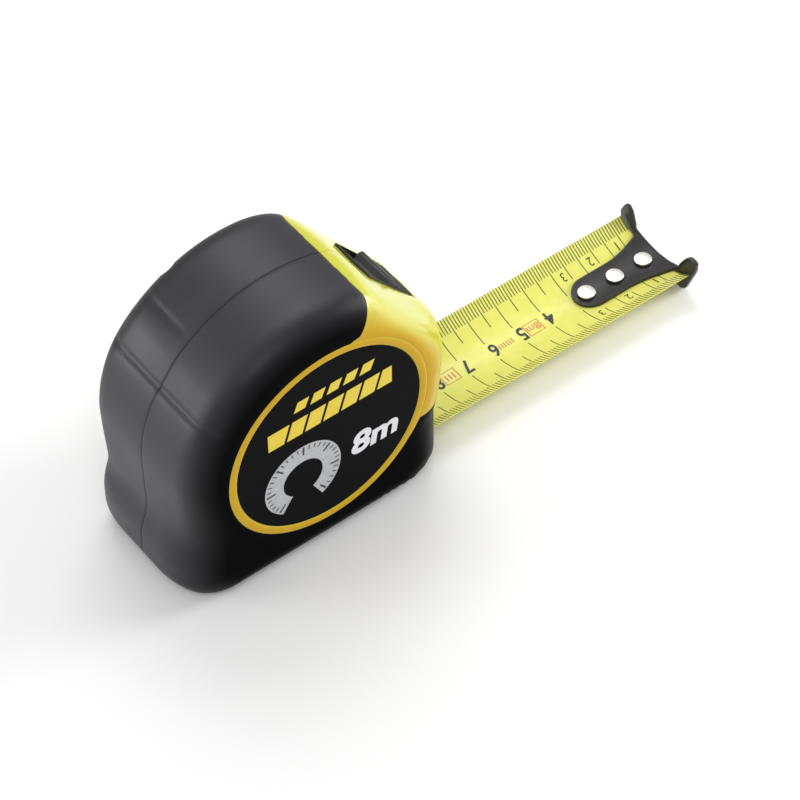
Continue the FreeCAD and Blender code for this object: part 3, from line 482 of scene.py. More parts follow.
def section_shift(points, y, side):
    """Shift of profile points, in x and z, that rounds the case at a distance y from the middle."""
    x, z = points[..., 0], points[..., 1]
    shift = np.zeros_like(points)
    edge = EDGE_ROUND[side] + CROWN_ROUND[side] * smoothstep(*CROWN_FADE, z - AXIS_Z)
    shift[..., 0] -= plan_inset(y) * smoothstep(4, NOSE, x)
    low = 1 - smoothstep(FOOT_FADE, AXIS_Z + 4, z)
    rear_depth = REAR_SHARE * edge + FOOT_DEPTH[side] * low
    rear_share = round_share(y, REAR_ROUND[side]) * smoothstep(8, REAR, -x)
    shift[..., 0] += rear_depth * rear_share * (BACK_SHARE + (1 - BACK_SHARE) * low)
    shift[..., 1] += edge * round_share(y, edge) * (1 - smoothstep(0, BASE_FADE, z))
    away = np.stack([x, z - AXIS_Z], -1)
    radius = np.linalg.norm(away, axis=-1, keepdims=True)
    upper = smoothstep(*UPPER_FADE, z - AXIS_Z)[..., None]
    ahead = 1 - NOSE_SOFTENING * smoothstep(20, NOSE, x)[..., None]
    shift -= away / radius * (edge * round_share(y, edge + 1))[..., None] * upper * ahead
    return shift


def shift_limit(points, side):
    """Share of the full shift that keeps the side's rim outside the label's ring."""
    full = section_shift(points, HALF_WIDTH, side)
    shares = np.linspace(0, 1, 101)
    moved = points[..., None, :] + shares[:, None] * full[..., None, :]
    inside = np.hypot(moved[..., 0], moved[..., 1] - AXIS_Z) < NOSE_LIMIT
    first = np.where(inside.any(-1), inside.argmax(-1), 100)
    return shares[first]


def smooth_limits(side):
    """The limits round the whole profile, smoothed but nowhere raised."""
    limits = shift_limit(profile_at(LIMIT_RUNS)[0], side)
    kernel = np.hanning(15) / np.hanning(15).sum()
    return np.minimum(limits, np.convolve(np.pad(limits, 7, mode="wrap"), kernel, mode="valid"))


LIMIT_RUNS = np.linspace(0, PERIMETER, 721)
LIMITS = {side: smooth_limits(side) for side in (-1, 1)}


def groove(run, centre, width, depth):
    """Depth of a soft groove that crosses the profile."""
    return depth * np.exp(-((run - centre) / width) ** 2)


def surface(run, y, side, dents):
    """Points of the case's outer surface, at distances along the profile and y from the middle."""
    points, normals = profile_at(run)
    place = np.mod(run, PERIMETER)
    points = points - normals * dents(place, y, side)[..., None]
    share = np.interp(place, LIMIT_RUNS, LIMITS[side])[..., None]
    points = points + section_shift(points, y, side) * share
    return np.stack([points[..., 0], np.full(run.shape, side * y), points[..., 1]], -1)


CREASE_LOW = run_of_angle(147)
CREASE_HIGH = run_of_angle(126)
SCALLOP_START, SCALLOP_END = run_of_angle(-62), run_of_angle(-40)
SCALLOP_PITCH, SCALLOP_DEPTH = 4.2, 0.32
CREASE_WIDTH, CREASE_DEPTH = 0.9, 0.55
DISH_OFFSET, DISH_WIDTH, DISH_DEPTH = 3.2, 3.4, 0.35  # soft hollow above the lower crease
CREASE_FADE = (20.2, 22.4)
SCALLOP_FADE = (17, 21)
SCOOP_WIDTH, SCOOP_HALF, SCOOP_DEPTH = 5.0, 7.0, 0.8
CHEEK_WIDTH, CHEEK_HALF, CHEEK_RISE, CHEEK_Y = 6.0, 3.6, 1.0, 10.8
SLOT_START, SLOT_LENGTH = 4.5, 24.6  # of the lock's slot, down the slope from the brow
SLOT_END = SLOT_START + SLOT_LENGTH
SLOT_TOP = run_of_point(*BROW_POINT) - SLOT_START
SLOT_BOTTOM = SLOT_TOP - SLOT_LENGTH
SLOT_HALF = 7.5


def grip_dents(run, y, side):
    """Creases moulded across the back, and finger scallops at the front of the base."""
    edge = 1 - smoothstep(*CREASE_FADE, y)
    dent = groove(run, CREASE_LOW, CREASE_WIDTH, CREASE_DEPTH) * edge
    dent = dent + groove(run, CREASE_LOW - DISH_OFFSET, DISH_WIDTH, DISH_DEPTH) * edge
    if side > 0:
        dent = dent + groove(run, CREASE_HIGH, CREASE_WIDTH, DISH_DEPTH) * edge * smoothstep(1, 5, y)
    waves = (1 + np.sin((run - SCALLOP_START) * 2 * math.pi / SCALLOP_PITCH)) * SCALLOP_DEPTH / 2
    inside = (run > SCALLOP_START) * (run < SCALLOP_END)
    return dent + waves * inside * smoothstep(*SCALLOP_FADE, y)


def shell_dents(run, y, side):
    """Finger scoop at the upper end of the lock's slot and raised cheeks beside its lower end."""
    scoop = groove(run, SLOT_TOP + 1.5, SCOOP_WIDTH, SCOOP_DEPTH) * math.exp(-(y / SCOOP_HALF) ** 2)
    cheek = groove(run, SLOT_BOTTOM - 0.5, CHEEK_WIDTH, CHEEK_RISE)
    return scoop - cheek * math.exp(-((y - CHEEK_Y) / CHEEK_HALF) ** 2)


WALL = 1.3
SCREW_RECESS = 3.2
PARTING_GAP = 0.06
SEAM_GAP = 0.09
MOUTH_HALF = BUMPER_HIGH[1]
# Distances of the rows from the middle.
ROW_YS = [PARTING_GAP, 1.2, 2.5, 3.8, 5.1, 6.3, SLOT_HALF, 9.2, 10.9, 12.6, 14.0, MOUTH_HALF]
ROW_YS += [MOUTH_HALF + (HALF_WIDTH - MOUTH_HALF) * math.sin(math.radians(a)) for a in range(12, 91, 6)]
SIDE_SHARES = (0.25, 0.5, 0.75, 1.0)  # steps from the rim in to the label's ring

# Where yellow and rubber meet, in degrees from the axis, and how the seams swing on those steps.
TOP_SEAM = 69.2
TOP_SEAM_SWING = (1.0, 3.0, 6.0, 10.0)
FRONT_SEAM = -17.4
FRONT_SEAM_SWING = (-0.8, -2.2, -4.2, -7.0)


def case_rows(name, side, material, dents, seams, hole, counts):
    """One moulding of one case half: rows from the parting plane round to the label's ring.

    The hole runs from low to high along the profile and reaches its half width from the middle.
    The counts are the columns before it, along it and after it.
    """
    low, high, half = hole
    rows = []
    for index in range(len(ROW_YS) + len(SIDE_SHARES)):
        y = ROW_YS[min(index, len(ROW_YS) - 1)]
        swing = index - len(ROW_YS)
        start, end = seams(y, swing)
        stops = [start, low, high, end]
        runs = np.concatenate([np.linspace(a, b, n, endpoint=False)
                               for a, b, n in zip(stops, stops[1:], counts)] + [[end]])
        points = surface(runs, y, side, dents)
        if swing >= 0:
            angle = np.arctan2(points[:, 2] - AXIS_Z, points[:, 0])
            ring = np.stack([RING_OUTER * np.cos(angle), points[:, 1],
                             AXIS_Z + RING_OUTER * np.sin(angle)], -1)
            points = points + (ring - points) * SIDE_SHARES[swing]
        rows.append(points)
    last_row = ROW_YS.index(half)
    first, last = counts[0], counts[0] + counts[1]
    faces = grid_faces(len(rows), len(rows[0]), lambda r, c: r < last_row and first <= c < last, side > 0)
    obj = piece(name, np.concatenate(rows), faces, material)
    obj = round_edges(thicken(obj, WALL), 0.3)
    return screw_holes(obj, material) if side > 0 else obj


def top_seam(y, swing):
    """Distance along the profile to the upper seam at y, or at a step of the side."""
    turn = TOP_SEAM_SWING[swing] if swing >= 0 else 0.0
    return run_of_angle(TOP_SEAM - 0.008 * min(y, 17) ** 2 - 2.0 * float(smoothstep(14, 20, y)) + turn)


def front_seam(y, swing):
    """Distance along the profile to the lower seam, which is straight up to the side."""
    turn = FRONT_SEAM_SWING[swing] if swing >= 0 else 0.0
    return run_of_angle(FRONT_SEAM + turn)


def shell_half(side, label):
    """Glossy yellow nose of one half, with its side of the lock's slot."""

    def seams(y, swing):
        return front_seam(y, swing) + SEAM_GAP, top_seam(y, swing) - SEAM_GAP

    obj = case_rows("shell_" + label, side, YELLOW, shell_dents, seams,
                    (SLOT_BOTTOM, SLOT_TOP, SLOT_HALF), SHELL_COUNTS)
    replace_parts(obj, "case_" + label)
    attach(obj, "case")
    return obj


SHELL_COUNTS, GRIP_COUNTS = (44, 30, 22), (270, 14, 16)
LIP_SETBACK, LIP_DROP = 3.4, 2.2  # put the mouth's lower lip clear of the rivets' tails
MOUTH_PLAY = 0.2
MOUTH_LOW = run_of_point(NOSE - LIP_SETBACK, TIP_LOW[2] - LIP_DROP)
MOUTH_HIGH = run_of_point(NOSE, BUMPER_HIGH[2] + MOUTH_PLAY)


def grip_half(side, label):
    """Black rubber over the top, back, base and chin of one half, with its side of the mouth.

    It passes the profile's start, so the places beyond that start lie one perimeter on.
    """

    def seams(y, swing):
        return top_seam(y, swing) + SEAM_GAP, front_seam(y, swing) + PERIMETER - SEAM_GAP

    obj = case_rows("grip_rubber_" + label, side, RUBBER, grip_dents, seams,
                    (MOUTH_LOW + PERIMETER, MOUTH_HIGH + PERIMETER, MOUTH_HALF), GRIP_COUNTS)
    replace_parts(obj, "grip_" + label)
    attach(obj, "case")
    return obj


def turned(name, profile, side, material, centre=(0.0, AXIS_Z), segments=160):
    """A form turned about a line across the case from a closed profile of radius and height.

    Heights are over the case's side. The centre is (x, z).
    """
    angles = np.linspace(0, 2 * math.pi, segments, endpoint=False)
    points = []
    for radius, height in profile:
        points.append(np.stack([centre[0] + radius * np.cos(angles),
                                np.full(segments, side * (HALF_WIDTH + height)),
                                centre[1] + radius * np.sin(angles)], -1))
    faces = []
    for r in range(len(profile)):
        near, far = r * segments, (r + 1) % len(profile) * segments
        for c in range(segments):
            after = (c + 1) % segments
            faces.append((near + c, near + after, far + after, far + c))
    return face_outwards(piece(name, np.concatenate(points), faces, material))


BEAD_CREST, BEAD_EDGE, BEAD_ROOT = 0.2, -0.45, -1.4  # heights over the case's side


def label_ring(side, label):
    """Rounded bead that frames the label."""
    inner, outer = LABEL_RADIUS + 0.05, RING_OUTER + 0.15
    half = (outer - inner) / 2
    middle = (outer + inner) / 2
    profile = [(middle - half * math.cos(a), BEAD_EDGE + (BEAD_CREST - BEAD_EDGE) * math.sin(a) ** 0.7)
               for a in np.linspace(0.03, math.pi - 0.03, 15)]
    profile = [(inner, BEAD_ROOT)] + profile + [(outer, BEAD_ROOT)]
    obj = turned("label_ring_" + label, profile, side, YELLOW)
    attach(obj, "case")
    return obj


SCREW_SPACING = 8.0  # points of one screw lie closer together than this
RECESS_FLOOR, RECESS_TOP = -9.0, 4.0


def screw_centres():
    """Side-view centres of the case screws, found from the CAD node."""
    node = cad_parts["case_screws"]
    screws = []
    for vertex in node.data.vertices:
        spot = np.array(node.matrix_world @ vertex.co) / MM
        near = [s for s in screws if math.hypot(spot[0] - s[0][0], spot[2] - s[0][2]) < SCREW_SPACING]
        if near:
            near[0].append(spot)
        else:
            screws.append([spot])
    middles = [(np.min(s, 0) + np.max(s, 0)) / 2 for s in screws]
    return [(middle[0], middle[2]) for middle in middles]


def screw_holes(obj, material):
    """Cuts the round recesses over the screw heads into a moulding of the clip's side."""
    cutters = []
    profile = [(0.01, RECESS_FLOOR), (SCREW_RECESS, RECESS_FLOOR), (SCREW_RECESS, RECESS_TOP),
               (0.01, RECESS_TOP)]
    for centre in screw_centres():
        cutters.append(turned("cutter", profile, 1, material, centre, 40))
    for cutter in cutters:
        cut = obj.modifiers.new("recess", "BOOLEAN")
        cut.object = cutter
        cut.solver = "EXACT"
    settle(obj)
    for cutter in cutters:
        bpy.data.objects.remove(cutter)
    obj.data.set_sharp_from_angle(angle=math.radians(50))
    return obj


SCREW_TOP = -3.9  # height of the heads over the case's side
SCREW_TALL = 2.4
SCREW_HEAD = 2.8
SOCKET_HALF, SOCKET_DEPTH = 1.1, 1.3


def case_screws():
    """Screw heads with round sockets, deep in their recesses."""
    top, low = SCREW_TOP, SCREW_TOP - SCREW_TALL
    floor = top - SOCKET_DEPTH
    profile = [(0.02, floor), (SOCKET_HALF, floor), (SOCKET_HALF, top - 0.15), (SOCKET_HALF + 0.15, top),
               (SCREW_HEAD - 0.35, top), (SCREW_HEAD, top - 0.35), (SCREW_HEAD, low), (0.02, low)]
    for index, centre in enumerate(screw_centres()):
        obj = turned("case_screw_%d" % (index + 1), profile, 1, SCREW_STEEL, centre, 48)
        obj.data.set_sharp_from_angle(angle=math.radians(35))
        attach(obj, "case")
        if index == 0:
            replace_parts(obj, "case_screws")


# ---- label print ----
PRINT_THICK = 0.05
PRINT_LIFT = 0.012  # gap under the letters


def on_label(side):
    """Maps label coordinates (right, up, out) to the case, readable from that side."""

    def place(right, up, out):
        return (-side * right, side * (HALF_WIDTH + out), up)

    return place


def raised(name, outlines, thick, place, material, body, slot, base=0.0, rounding=None):
    """Solids from closed flat outlines, placed by a mapping of (right, up, out).

    The rounding, if any, is the edges' radius, segments and least angle.
    """
    form = bmesh.new()
    for outline in outlines:
        low = [form.verts.new(Vector(place(a, b, base)) * MM) for a, b in outline]
        high = [form.verts.new(Vector(place(a, b, base + thick)) * MM) for a, b in outline]
        form.faces.new(low[::-1])
        form.faces.new(high)
        for k in range(len(outline)):
            j = (k + 1) % len(outline)
            form.faces.new((low[k], low[j], high[j], high[k]))
    bmesh.ops.recalc_face_normals(form, faces=form.faces)
    mesh = bpy.data.meshes.new(name)
    form.to_mesh(mesh)
    form.free()
    mesh.materials.append(material)
    obj = new_object(name, mesh)
    if rounding is not None:
        round_edges(obj, *rounding)
        obj.data.shade_smooth()
    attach(obj, body)
    return obj


def lettering(name, items, place, material, body, slot, thick=PRINT_THICK):
    """Text solids. Each item is (text, centre right, centre up, height, width share, slant, weight)."""
    points, faces = [], []
    for text, right, up, height, share, slant, weight in items:
        curve = bpy.data.curves.new(name, "FONT")
        curve.body = text
        curve.align_x = "CENTER"
        curve.align_y = "CENTER"
        curve.extrude = 0.5
        curve.offset = weight
        curve.resolution_u = 4
        holder = new_object(name, curve)
        graph = bpy.context.evaluated_depsgraph_get()
        mesh = bpy.data.meshes.new_from_object(holder.evaluated_get(graph))
        flat = np.array([v.co for v in mesh.vertices], float)
        middle = (flat.min(0) + flat.max(0)) / 2
        tall = flat[:, 1].max() - flat[:, 1].min()
        scale = height / tall
        a = (flat[:, 0] - middle[0]) * scale * share
        b = (flat[:, 1] - middle[1]) * scale
        start = len(points)
        for u, w, out in zip(a + slant * b, b, flat[:, 2] + 0.5):
            points.append(place(right + u, up + w, PRINT_LIFT + out * thick))
        faces += [tuple(start + v for v in face.vertices) for face in mesh.polygons]
        bpy.data.objects.remove(holder)
    obj = face_outwards(piece(name, points, faces, material))
    obj.data.shade_flat()
    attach(obj, body)
    return obj


def ring_sector(centre, inner, outer, start, end, steps):
    """Outline of part of a flat ring, angles in degrees."""
    angles = np.radians(np.linspace(start, end, steps))
    far = [(centre[0] + outer * math.cos(a), centre[1] + outer * math.sin(a)) for a in angles]
    near = [(centre[0] + inner * math.cos(a), centre[1] + inner * math.sin(a)) for a in angles[::-1]]
    return far + near


# Places on the label: right of its middle as it is read, and height over the base.
BAR_X, BAR_Z, BAR_HALF, BAR_RISE = 0.9, 53.4, 20.2, 3.1
BAR_COUNT, BAR_LEAN, BAR_GAP = 7, 2.0, 0.9
DASH_LEFT, DASH_LOW, DASH_HIGH = -11.0, 59.6, 63.0
DASH_COUNT, DASH_STEP, DASH_LONG, DASH_LEAN = 5, 5.2, 3.6, 1.4
DIAL_CENTRE, DIAL_INNER, DIAL_OUTER = (-9.0, 32.8), 6.3, 12.2
DIAL_START, DIAL_END = -61.0, 236.0
DIAL_MARKS, DIAL_MARGIN, DIAL_MARK_EVERY = 31, 8.0, 5


def label_print(side, label):
    """Plain generic print: a barred stripe, a dial with marks, and the blade's length."""
    place = on_label(side)
    slots = ("case", "label_print")

    def printed(part, outlines, material, base=0.01):
        raised("label_%s_%s" % (part, label), outlines, PRINT_THICK, place, material, *slots, base=base)

    step = 2 * BAR_HALF / BAR_COUNT
    bars = []
    for k in range(BAR_COUNT):
        left = BAR_X - BAR_HALF + k * step
        right = left + step - BAR_GAP
        low_lean = BAR_LEAN if k else 0.0
        high_lean = BAR_LEAN if k < BAR_COUNT - 1 else 0.0
        bars.append([(left, BAR_Z - BAR_RISE), (right, BAR_Z - BAR_RISE),
                     (right + high_lean, BAR_Z + BAR_RISE), (left + low_lean, BAR_Z + BAR_RISE)])
    printed("bar", bars, PRINT_YELLOW)
    dashes = []
    for k in range(DASH_COUNT):
        left = DASH_LEFT + k * DASH_STEP
        right = left + DASH_LONG
        dashes.append([(left, DASH_LOW), (right, DASH_LOW), (right + DASH_LEAN, DASH_HIGH),
                       (left + DASH_LEAN, DASH_HIGH)])
    printed("dashes", dashes, PRINT_YELLOW)
    dial = [ring_sector(DIAL_CENTRE, DIAL_INNER, DIAL_OUTER, DIAL_START, DIAL_END, 72)]
    printed("dial", dial, PRINT_GREY)
    marks = []
    sweep = DIAL_END - DIAL_START - 2 * DIAL_MARGIN
    for k in range(DIAL_MARKS):
        angle = DIAL_START + DIAL_MARGIN + k * sweep / (DIAL_MARKS - 1)
        inner = DIAL_OUTER - (3.4 if k % DIAL_MARK_EVERY == 0 else 1.9)
        width = 1.5 if k % DIAL_MARK_EVERY == 0 else 0.8
        marks.append(ring_sector(DIAL_CENTRE, inner, DIAL_OUTER - 0.5, angle - width, angle + width, 3))
    printed("dial_marks", marks, PRINT_BLACK, 0.07)
    lettering("label_length_" + label, [("8m", 14.6, 33.6, 8.4, 1.12, 0.16, 0.035)], place,
              PRINT_WHITE, *slots)


# ---- blade ----
BLADE_CURVE = 24.6
BLADE_THICK = 0.25
BLADE_LOW = TIP_LOW[2]
LEAD_BEND_END = LEAD_LOW[0] + 13.0
LEAD_RISE = 5.7  # of the blade where it leaves the coil
LEAD_CURVE = 200.0  # radius across the blade there, nearly flat


def blade_point(x, across, above):
    """Point of the blade: x along it, a distance round its curve, a height over its upper face."""
    curl = float(smoothstep(LEAD_LOW[0], LEAD_BEND_END, x))
    curve = 1 / ((1 - curl) / LEAD_CURVE + curl / BLADE_CURVE)
    centre = BLADE_LOW + LEAD_RISE * (1 - curl) + BLADE_THICK + curve
    angle = across / curve
    return (x, (curve - above) * math.sin(angle), centre - (curve - above) * math.cos(angle))


def blade_strip():
    """The whole visible strip: it rides the case at the coil and the blade from the mouth on."""
    xs = np.concatenate([np.linspace(LEAD_LOW[0], TIP_LOW[0], 93),
                         np.linspace(TIP_LOW[0], TIP_HIGH[0], 120)[1:]])
    acrosses = np.linspace(-BLADE_HALF, BLADE_HALF, 41)
    points = [blade_point(x, v, 0.0) for v in acrosses for x in xs]
    attributes = {"rest_x": np.tile(xs, len(acrosses)), "across": np.repeat(acrosses, len(xs))}
    faces = grid_faces(len(acrosses), len(xs))
    obj = piece("blade_strip", points, faces, BLADE, attributes)
    obj.data.materials.append(BLADE_BACK)
    thicken(obj, BLADE_THICK, backing=1)
    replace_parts(obj, "blade_tip", "blade_lead")
    middle = BLADE_LOW * MM
    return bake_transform(obj, "case", "blade", start=(LEAD_LOW[0] * MM, 0, middle),
                    end=(TIP_LOW[0] * MM, 0, middle))


def on_blade(right, up, out):
    """Maps print coordinates to the blade; print reads from the -Y edge, towards the case."""
    return blade_point(SCALE_ZERO - right, -up, out)


CENTIMETRE = 10.0
DIGIT_TALL, DIGIT_SETBACK = 5.0, 0.9  # numbers in the middle, and how far short of their marks
SMALL_TALL, SMALL_SETBACK = 2.9, 2.9  # numbers beside the hook, along both edges
SMALL_ROWS = (-8.8, 8.7)
BLADE_INK = 0.02
FRAME_STARTS, FRAME_LONG, FRAME_HALF, FRAME_LINE = (42.4, 72.4), 5.2, 2.3, 0.22
STROKE_GROUPS = ((3, 73.6, 1.2, 0.4, 1.1), (6, 52.6, 0.9, 0.35, 0.9))


def rectangle(left, low, right, high):
    return [(left, low), (right, low), (right, high), (left, high)]


def red_frame(start):
    """Four thin sides of a frame printed on the blade."""
    end = start + FRAME_LONG
    return [rectangle(start, -FRAME_HALF, end, -FRAME_HALF + FRAME_LINE),
            rectangle(start, FRAME_HALF - FRAME_LINE, end, FRAME_HALF),
            rectangle(start, -FRAME_HALF, start + FRAME_LINE, FRAME_HALF),
            rectangle(end - FRAME_LINE, -FRAME_HALF, end, FRAME_HALF)]


def blade_numbers():
    """Centimetre numbers in black, and the length, frames and strokes in red."""
    slots = ("blade", "blade_print")
    numbers = []
    for number in range(4, 9):
        numbers.append((str(number), CENTIMETRE * number - DIGIT_SETBACK, 0.0, DIGIT_TALL, 0.82, 0.0, 0.022))
    for number in range(1, 4):
        for up in SMALL_ROWS:
            numbers.append((str(number), CENTIMETRE * number - SMALL_SETBACK, up, SMALL_TALL, 0.85, 0.0, 0.0))
    lettering("blade_numbers", numbers, on_blade, PRINT_BLACK, *slots, BLADE_INK)
    lettering("blade_length_mark", [("8m", 45.0, 0.0, 2.6, 0.95, 0.0, 0.0)], on_blade,
              PRINT_RED, *slots, BLADE_INK)
    marks = []
    for start in FRAME_STARTS:
        marks += red_frame(start)
    for count, first, step, wide, half in STROKE_GROUPS:
        for k in range(count):
            left = first + step * k
            marks.append(rectangle(left, -half, left + wide, half))
    raised("blade_red_marks", marks, BLADE_INK, on_blade, PRINT_RED, *slots, base=PRINT_LIFT)


# ---- hook ----
TANG_HALF = 5.75
TANG_REAR = HOOK_HIGH[0] - 31.0
FLARE_START = HOOK_HIGH[0] - 15.0
FLARE_HALF = 9.8
PLATE_THICK = 1.2
HOOK_THICK = 1.0
TANG_LIFT = 0.05  # of the tang's underside over the blade
FANG_LOW = 0.3


def tang_half_width(x):
    """Half width of the tang: round at the rear, straight, then flared to the end plate."""
    rear = max(TANG_HALF - (x - TANG_REAR), 0.0)
    straight = math.sqrt(max(TANG_HALF ** 2 - rear ** 2, 0.0))
    t = max((x - FLARE_START) / (HOOK_HIGH[0] - FLARE_START), 0.0)
    return straight + (FLARE_HALF - TANG_HALF) * t ** 1.7


def chaikin(points, rounds=3):
    """Rounds the corners of a closed outline by cutting them."""
    outline = np.array(points, float)
    for _ in range(rounds):
        after = np.roll(outline, -1, axis=0)
        outline = np.stack([0.88 * outline + 0.12 * after, 0.12 * outline + 0.88 * after], 1).reshape(-1, 2)
    return [tuple(p) for p in outline]


def hook():
    """Stamped hook: a curved, flared tang and an end plate with two ears and two fangs."""
    turns = np.linspace(0, math.pi / 2, 12)
    xs = np.concatenate([TANG_REAR + TANG_HALF * (1 - np.cos(turns)) + 0.004,
                         np.linspace(TANG_REAR + TANG_HALF, HOOK_HIGH[0] - 0.3, 36)[1:]])
    shares = np.linspace(-1, 1, 17)
    points = []
    for share in shares:
        for x in xs:
            across = share * tang_half_width(x)
            points.append(blade_point(x, across, TANG_LIFT + HOOK_THICK))
    tang = piece("hook_tang", points, grid_faces(len(shares), len(xs)), HOOK_STEEL)
    tang = round_edges(thicken(tang, HOOK_THICK), 0.22, 3)
    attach(tang, "hook")
    half = HOOK_HIGH[1]
    high = HOOK_HIGH[2]
    far_ear = [(0.0, 4.7), (5.0, 5.3), (9.6, 6.6), (9.9, 8.6), (11.4, 12.6), (12.8, high - 0.6),
               (14.4, high - 1.2), (half - 0.9, 10.2), (half - 1.2, 6.8), (14.3, 3.6), (12.9, FANG_LOW),
               (5.0, FANG_LOW), (4.4, 2.0), (0.0, 3.3)]
    near_ear = [(-4.4, 2.0), (-4.6, FANG_LOW), (-12.9, FANG_LOW), (-half, 11.0),
                (-half, high - 0.5), (-half + 0.9, high), (-14.0, high), (-12.4, 13.2), (-10.2, 9.4),
                (-9.4, 6.9), (-5.0, 5.3)]

    def place(across, up, out):
        return (HOOK_HIGH[0] - PLATE_THICK + out, across, up)

    outline = chaikin(far_ear + near_ear, 2)
    raised("hook_end_plate", [outline], PLATE_THICK, place, HOOK_STEEL, "hook", "hook_steel",
           rounding=(0.2, 3, 50))
    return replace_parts(tang, "end_hook")


RIVET_SETBACKS = (6.0, 16.5, 27.0)
RIVET_HEAD, RIVET_SHANK, RIVET_GAP, RIVET_DOME = 2.6, 1.9, 0.4, 0.15
RIVET_SEAT = 1.25  # over the blade's upper face
TAIL_DROP, TAIL_TALL = 0.45, 0.4


def rivets():
    """Domed rivets whose heads stand just clear of the tang."""
    seat = blade_point(TIP_HIGH[0], 0, RIVET_SEAT)[2]
    bottom = BLADE_LOW - TAIL_DROP
    under = seat + RIVET_GAP
    profile = [(0.0, bottom), (RIVET_HEAD - 0.5, bottom), (RIVET_HEAD - 0.4, bottom + TAIL_TALL),
               (RIVET_SHANK, bottom + TAIL_TALL), (RIVET_SHANK, under), (RIVET_HEAD - 0.12, under),
               (RIVET_HEAD, under + 0.12)]
    profile += [(RIVET_HEAD - 0.25 * (1 - math.cos(a)), under + 0.35 + 0.25 * math.sin(a))
                for a in np.linspace(0, math.pi / 2, 6)]
    profile += [(share * (RIVET_HEAD - 0.25), under + 0.6 + RIVET_DOME * (1 - share ** 2))
                for share in (0.9, 0.7, 0.45, 0.2, 0.002)]
    segments = 56
    for index, setback in enumerate(RIVET_SETBACKS):
        centre = HOOK_HIGH[0] - setback
        points, faces = [], []
        for radius, z in profile:
            for k in range(segments):
                a = 2 * math.pi * k / segments
                points.append((centre + radius * math.cos(a), radius * math.sin(a), z))
        for r in range(len(profile) - 1):
            low, high = r * segments, (r + 1) * segments
            for k in range(segments):
                j = (k + 1) % segments
                faces.append((low + k, low + j, high + j, high + k))
        obj = face_outwards(piece("hook_rivet_%d" % (index + 1), points, faces, RIVET_STEEL))
        obj.data.set_sharp_from_angle(angle=math.radians(35))
        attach(obj, "blade")
        if index == 0:
            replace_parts(obj, "hook_rivets")


# ---- lock ----
SLOPE_ANGLE = math.atan2(-SLOPE[1], SLOPE[0])
PAD_START, PAD_END = 14.2, 28.6  # down the slope from the brow
PAD_HALF = 6.4
PAD_CREST, PAD_BODY, PAD_VALLEY = 1.5, 0.85, 0.45  # heights over the slope
RIB_COUNT, RIB_START, RIB_PITCH = 4, 3.2, 2.3
DROOP = 0.003  # of the pad, times the square of the distance down it
TONGUE_START, TONGUE_TOP, TONGUE_LOW = 1.6, -1.9, -4.2
LINER_THICK = 0.4


def on_slope(along, out):
    """Side-view point at a distance down the slope and a height over it."""
    x = BROW_POINT[0] + along * math.cos(SLOPE_ANGLE) + out * math.sin(SLOPE_ANGLE)
    z = BROW_POINT[1] - along * math.sin(SLOPE_ANGLE) + out * math.cos(SLOPE_ANGLE)
    return x, z


def lock_section():
    """Side view of the thumb lock, along the slope and out of it."""
    tongue = [(TONGUE_START, TONGUE_TOP - 1.3), (TONGUE_START, TONGUE_TOP),
              (PAD_START - 1.6, TONGUE_TOP), (PAD_START - 0.7, TONGUE_TOP + 0.7)]
    crest = [(PAD_START - 0.2, PAD_CREST - 0.6), (PAD_START + 0.5, PAD_CREST),
             (PAD_START + 1.7, PAD_CREST), (PAD_START + 2.5, PAD_CREST - 0.8)]
    ribs = []
    for k in range(RIB_COUNT):
        here = PAD_START + RIB_START + k * RIB_PITCH
        droop = DROOP * (here - PAD_START) ** 2
        ribs += [(here, PAD_BODY - droop), (here + 0.55, PAD_VALLEY - droop),
                 (here + 1.1, PAD_VALLEY - droop), (here + 1.6, PAD_BODY - droop)]
    end = [(PAD_END - 1.2, 0.1), (PAD_END - 0.3, -0.4), (PAD_END, -1.2), (PAD_END, -2.8),
           (PAD_END - 1.0, TONGUE_LOW), (TONGUE_START + 2.4, TONGUE_LOW)]
    return tongue + crest + ribs + end


def lock():
    """Thumb lock: a ribbed pad with a tongue that runs up under the nose's shell."""
    section = [on_slope(a, n) for a, n in lock_section()]

    def place(across, up, out):
        return (across, -PAD_HALF + out, up)

    obj = raised("lock_slider", [section], 2 * PAD_HALF, place, LOCK_PLASTIC, "lock", "lock_black",
                 rounding=(0.28, 3, 25))
    obj.data.set_sharp_from_angle(angle=math.radians(50))
    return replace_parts(obj, "lock_button")


def slot_liner():
    """Black frame that lines the lock's slot."""

    def place(across, along, out):
        x, z = on_slope(along, out)
        return (x, across, z)

    inner, outer = SLOT_HALF - LINER_THICK, SLOT_HALF
    outlines = [rectangle(-outer, SLOT_START, -inner, SLOT_END),
                rectangle(inner, SLOT_START, outer, SLOT_END),
                rectangle(-inner, SLOT_START, inner, SLOT_START + LINER_THICK)]
    return raised("lock_slot_liner", outlines, WALL + 0.1, place, LOCK_PLASTIC, "case", "lock_black",
                  base=-WALL - 0.12)


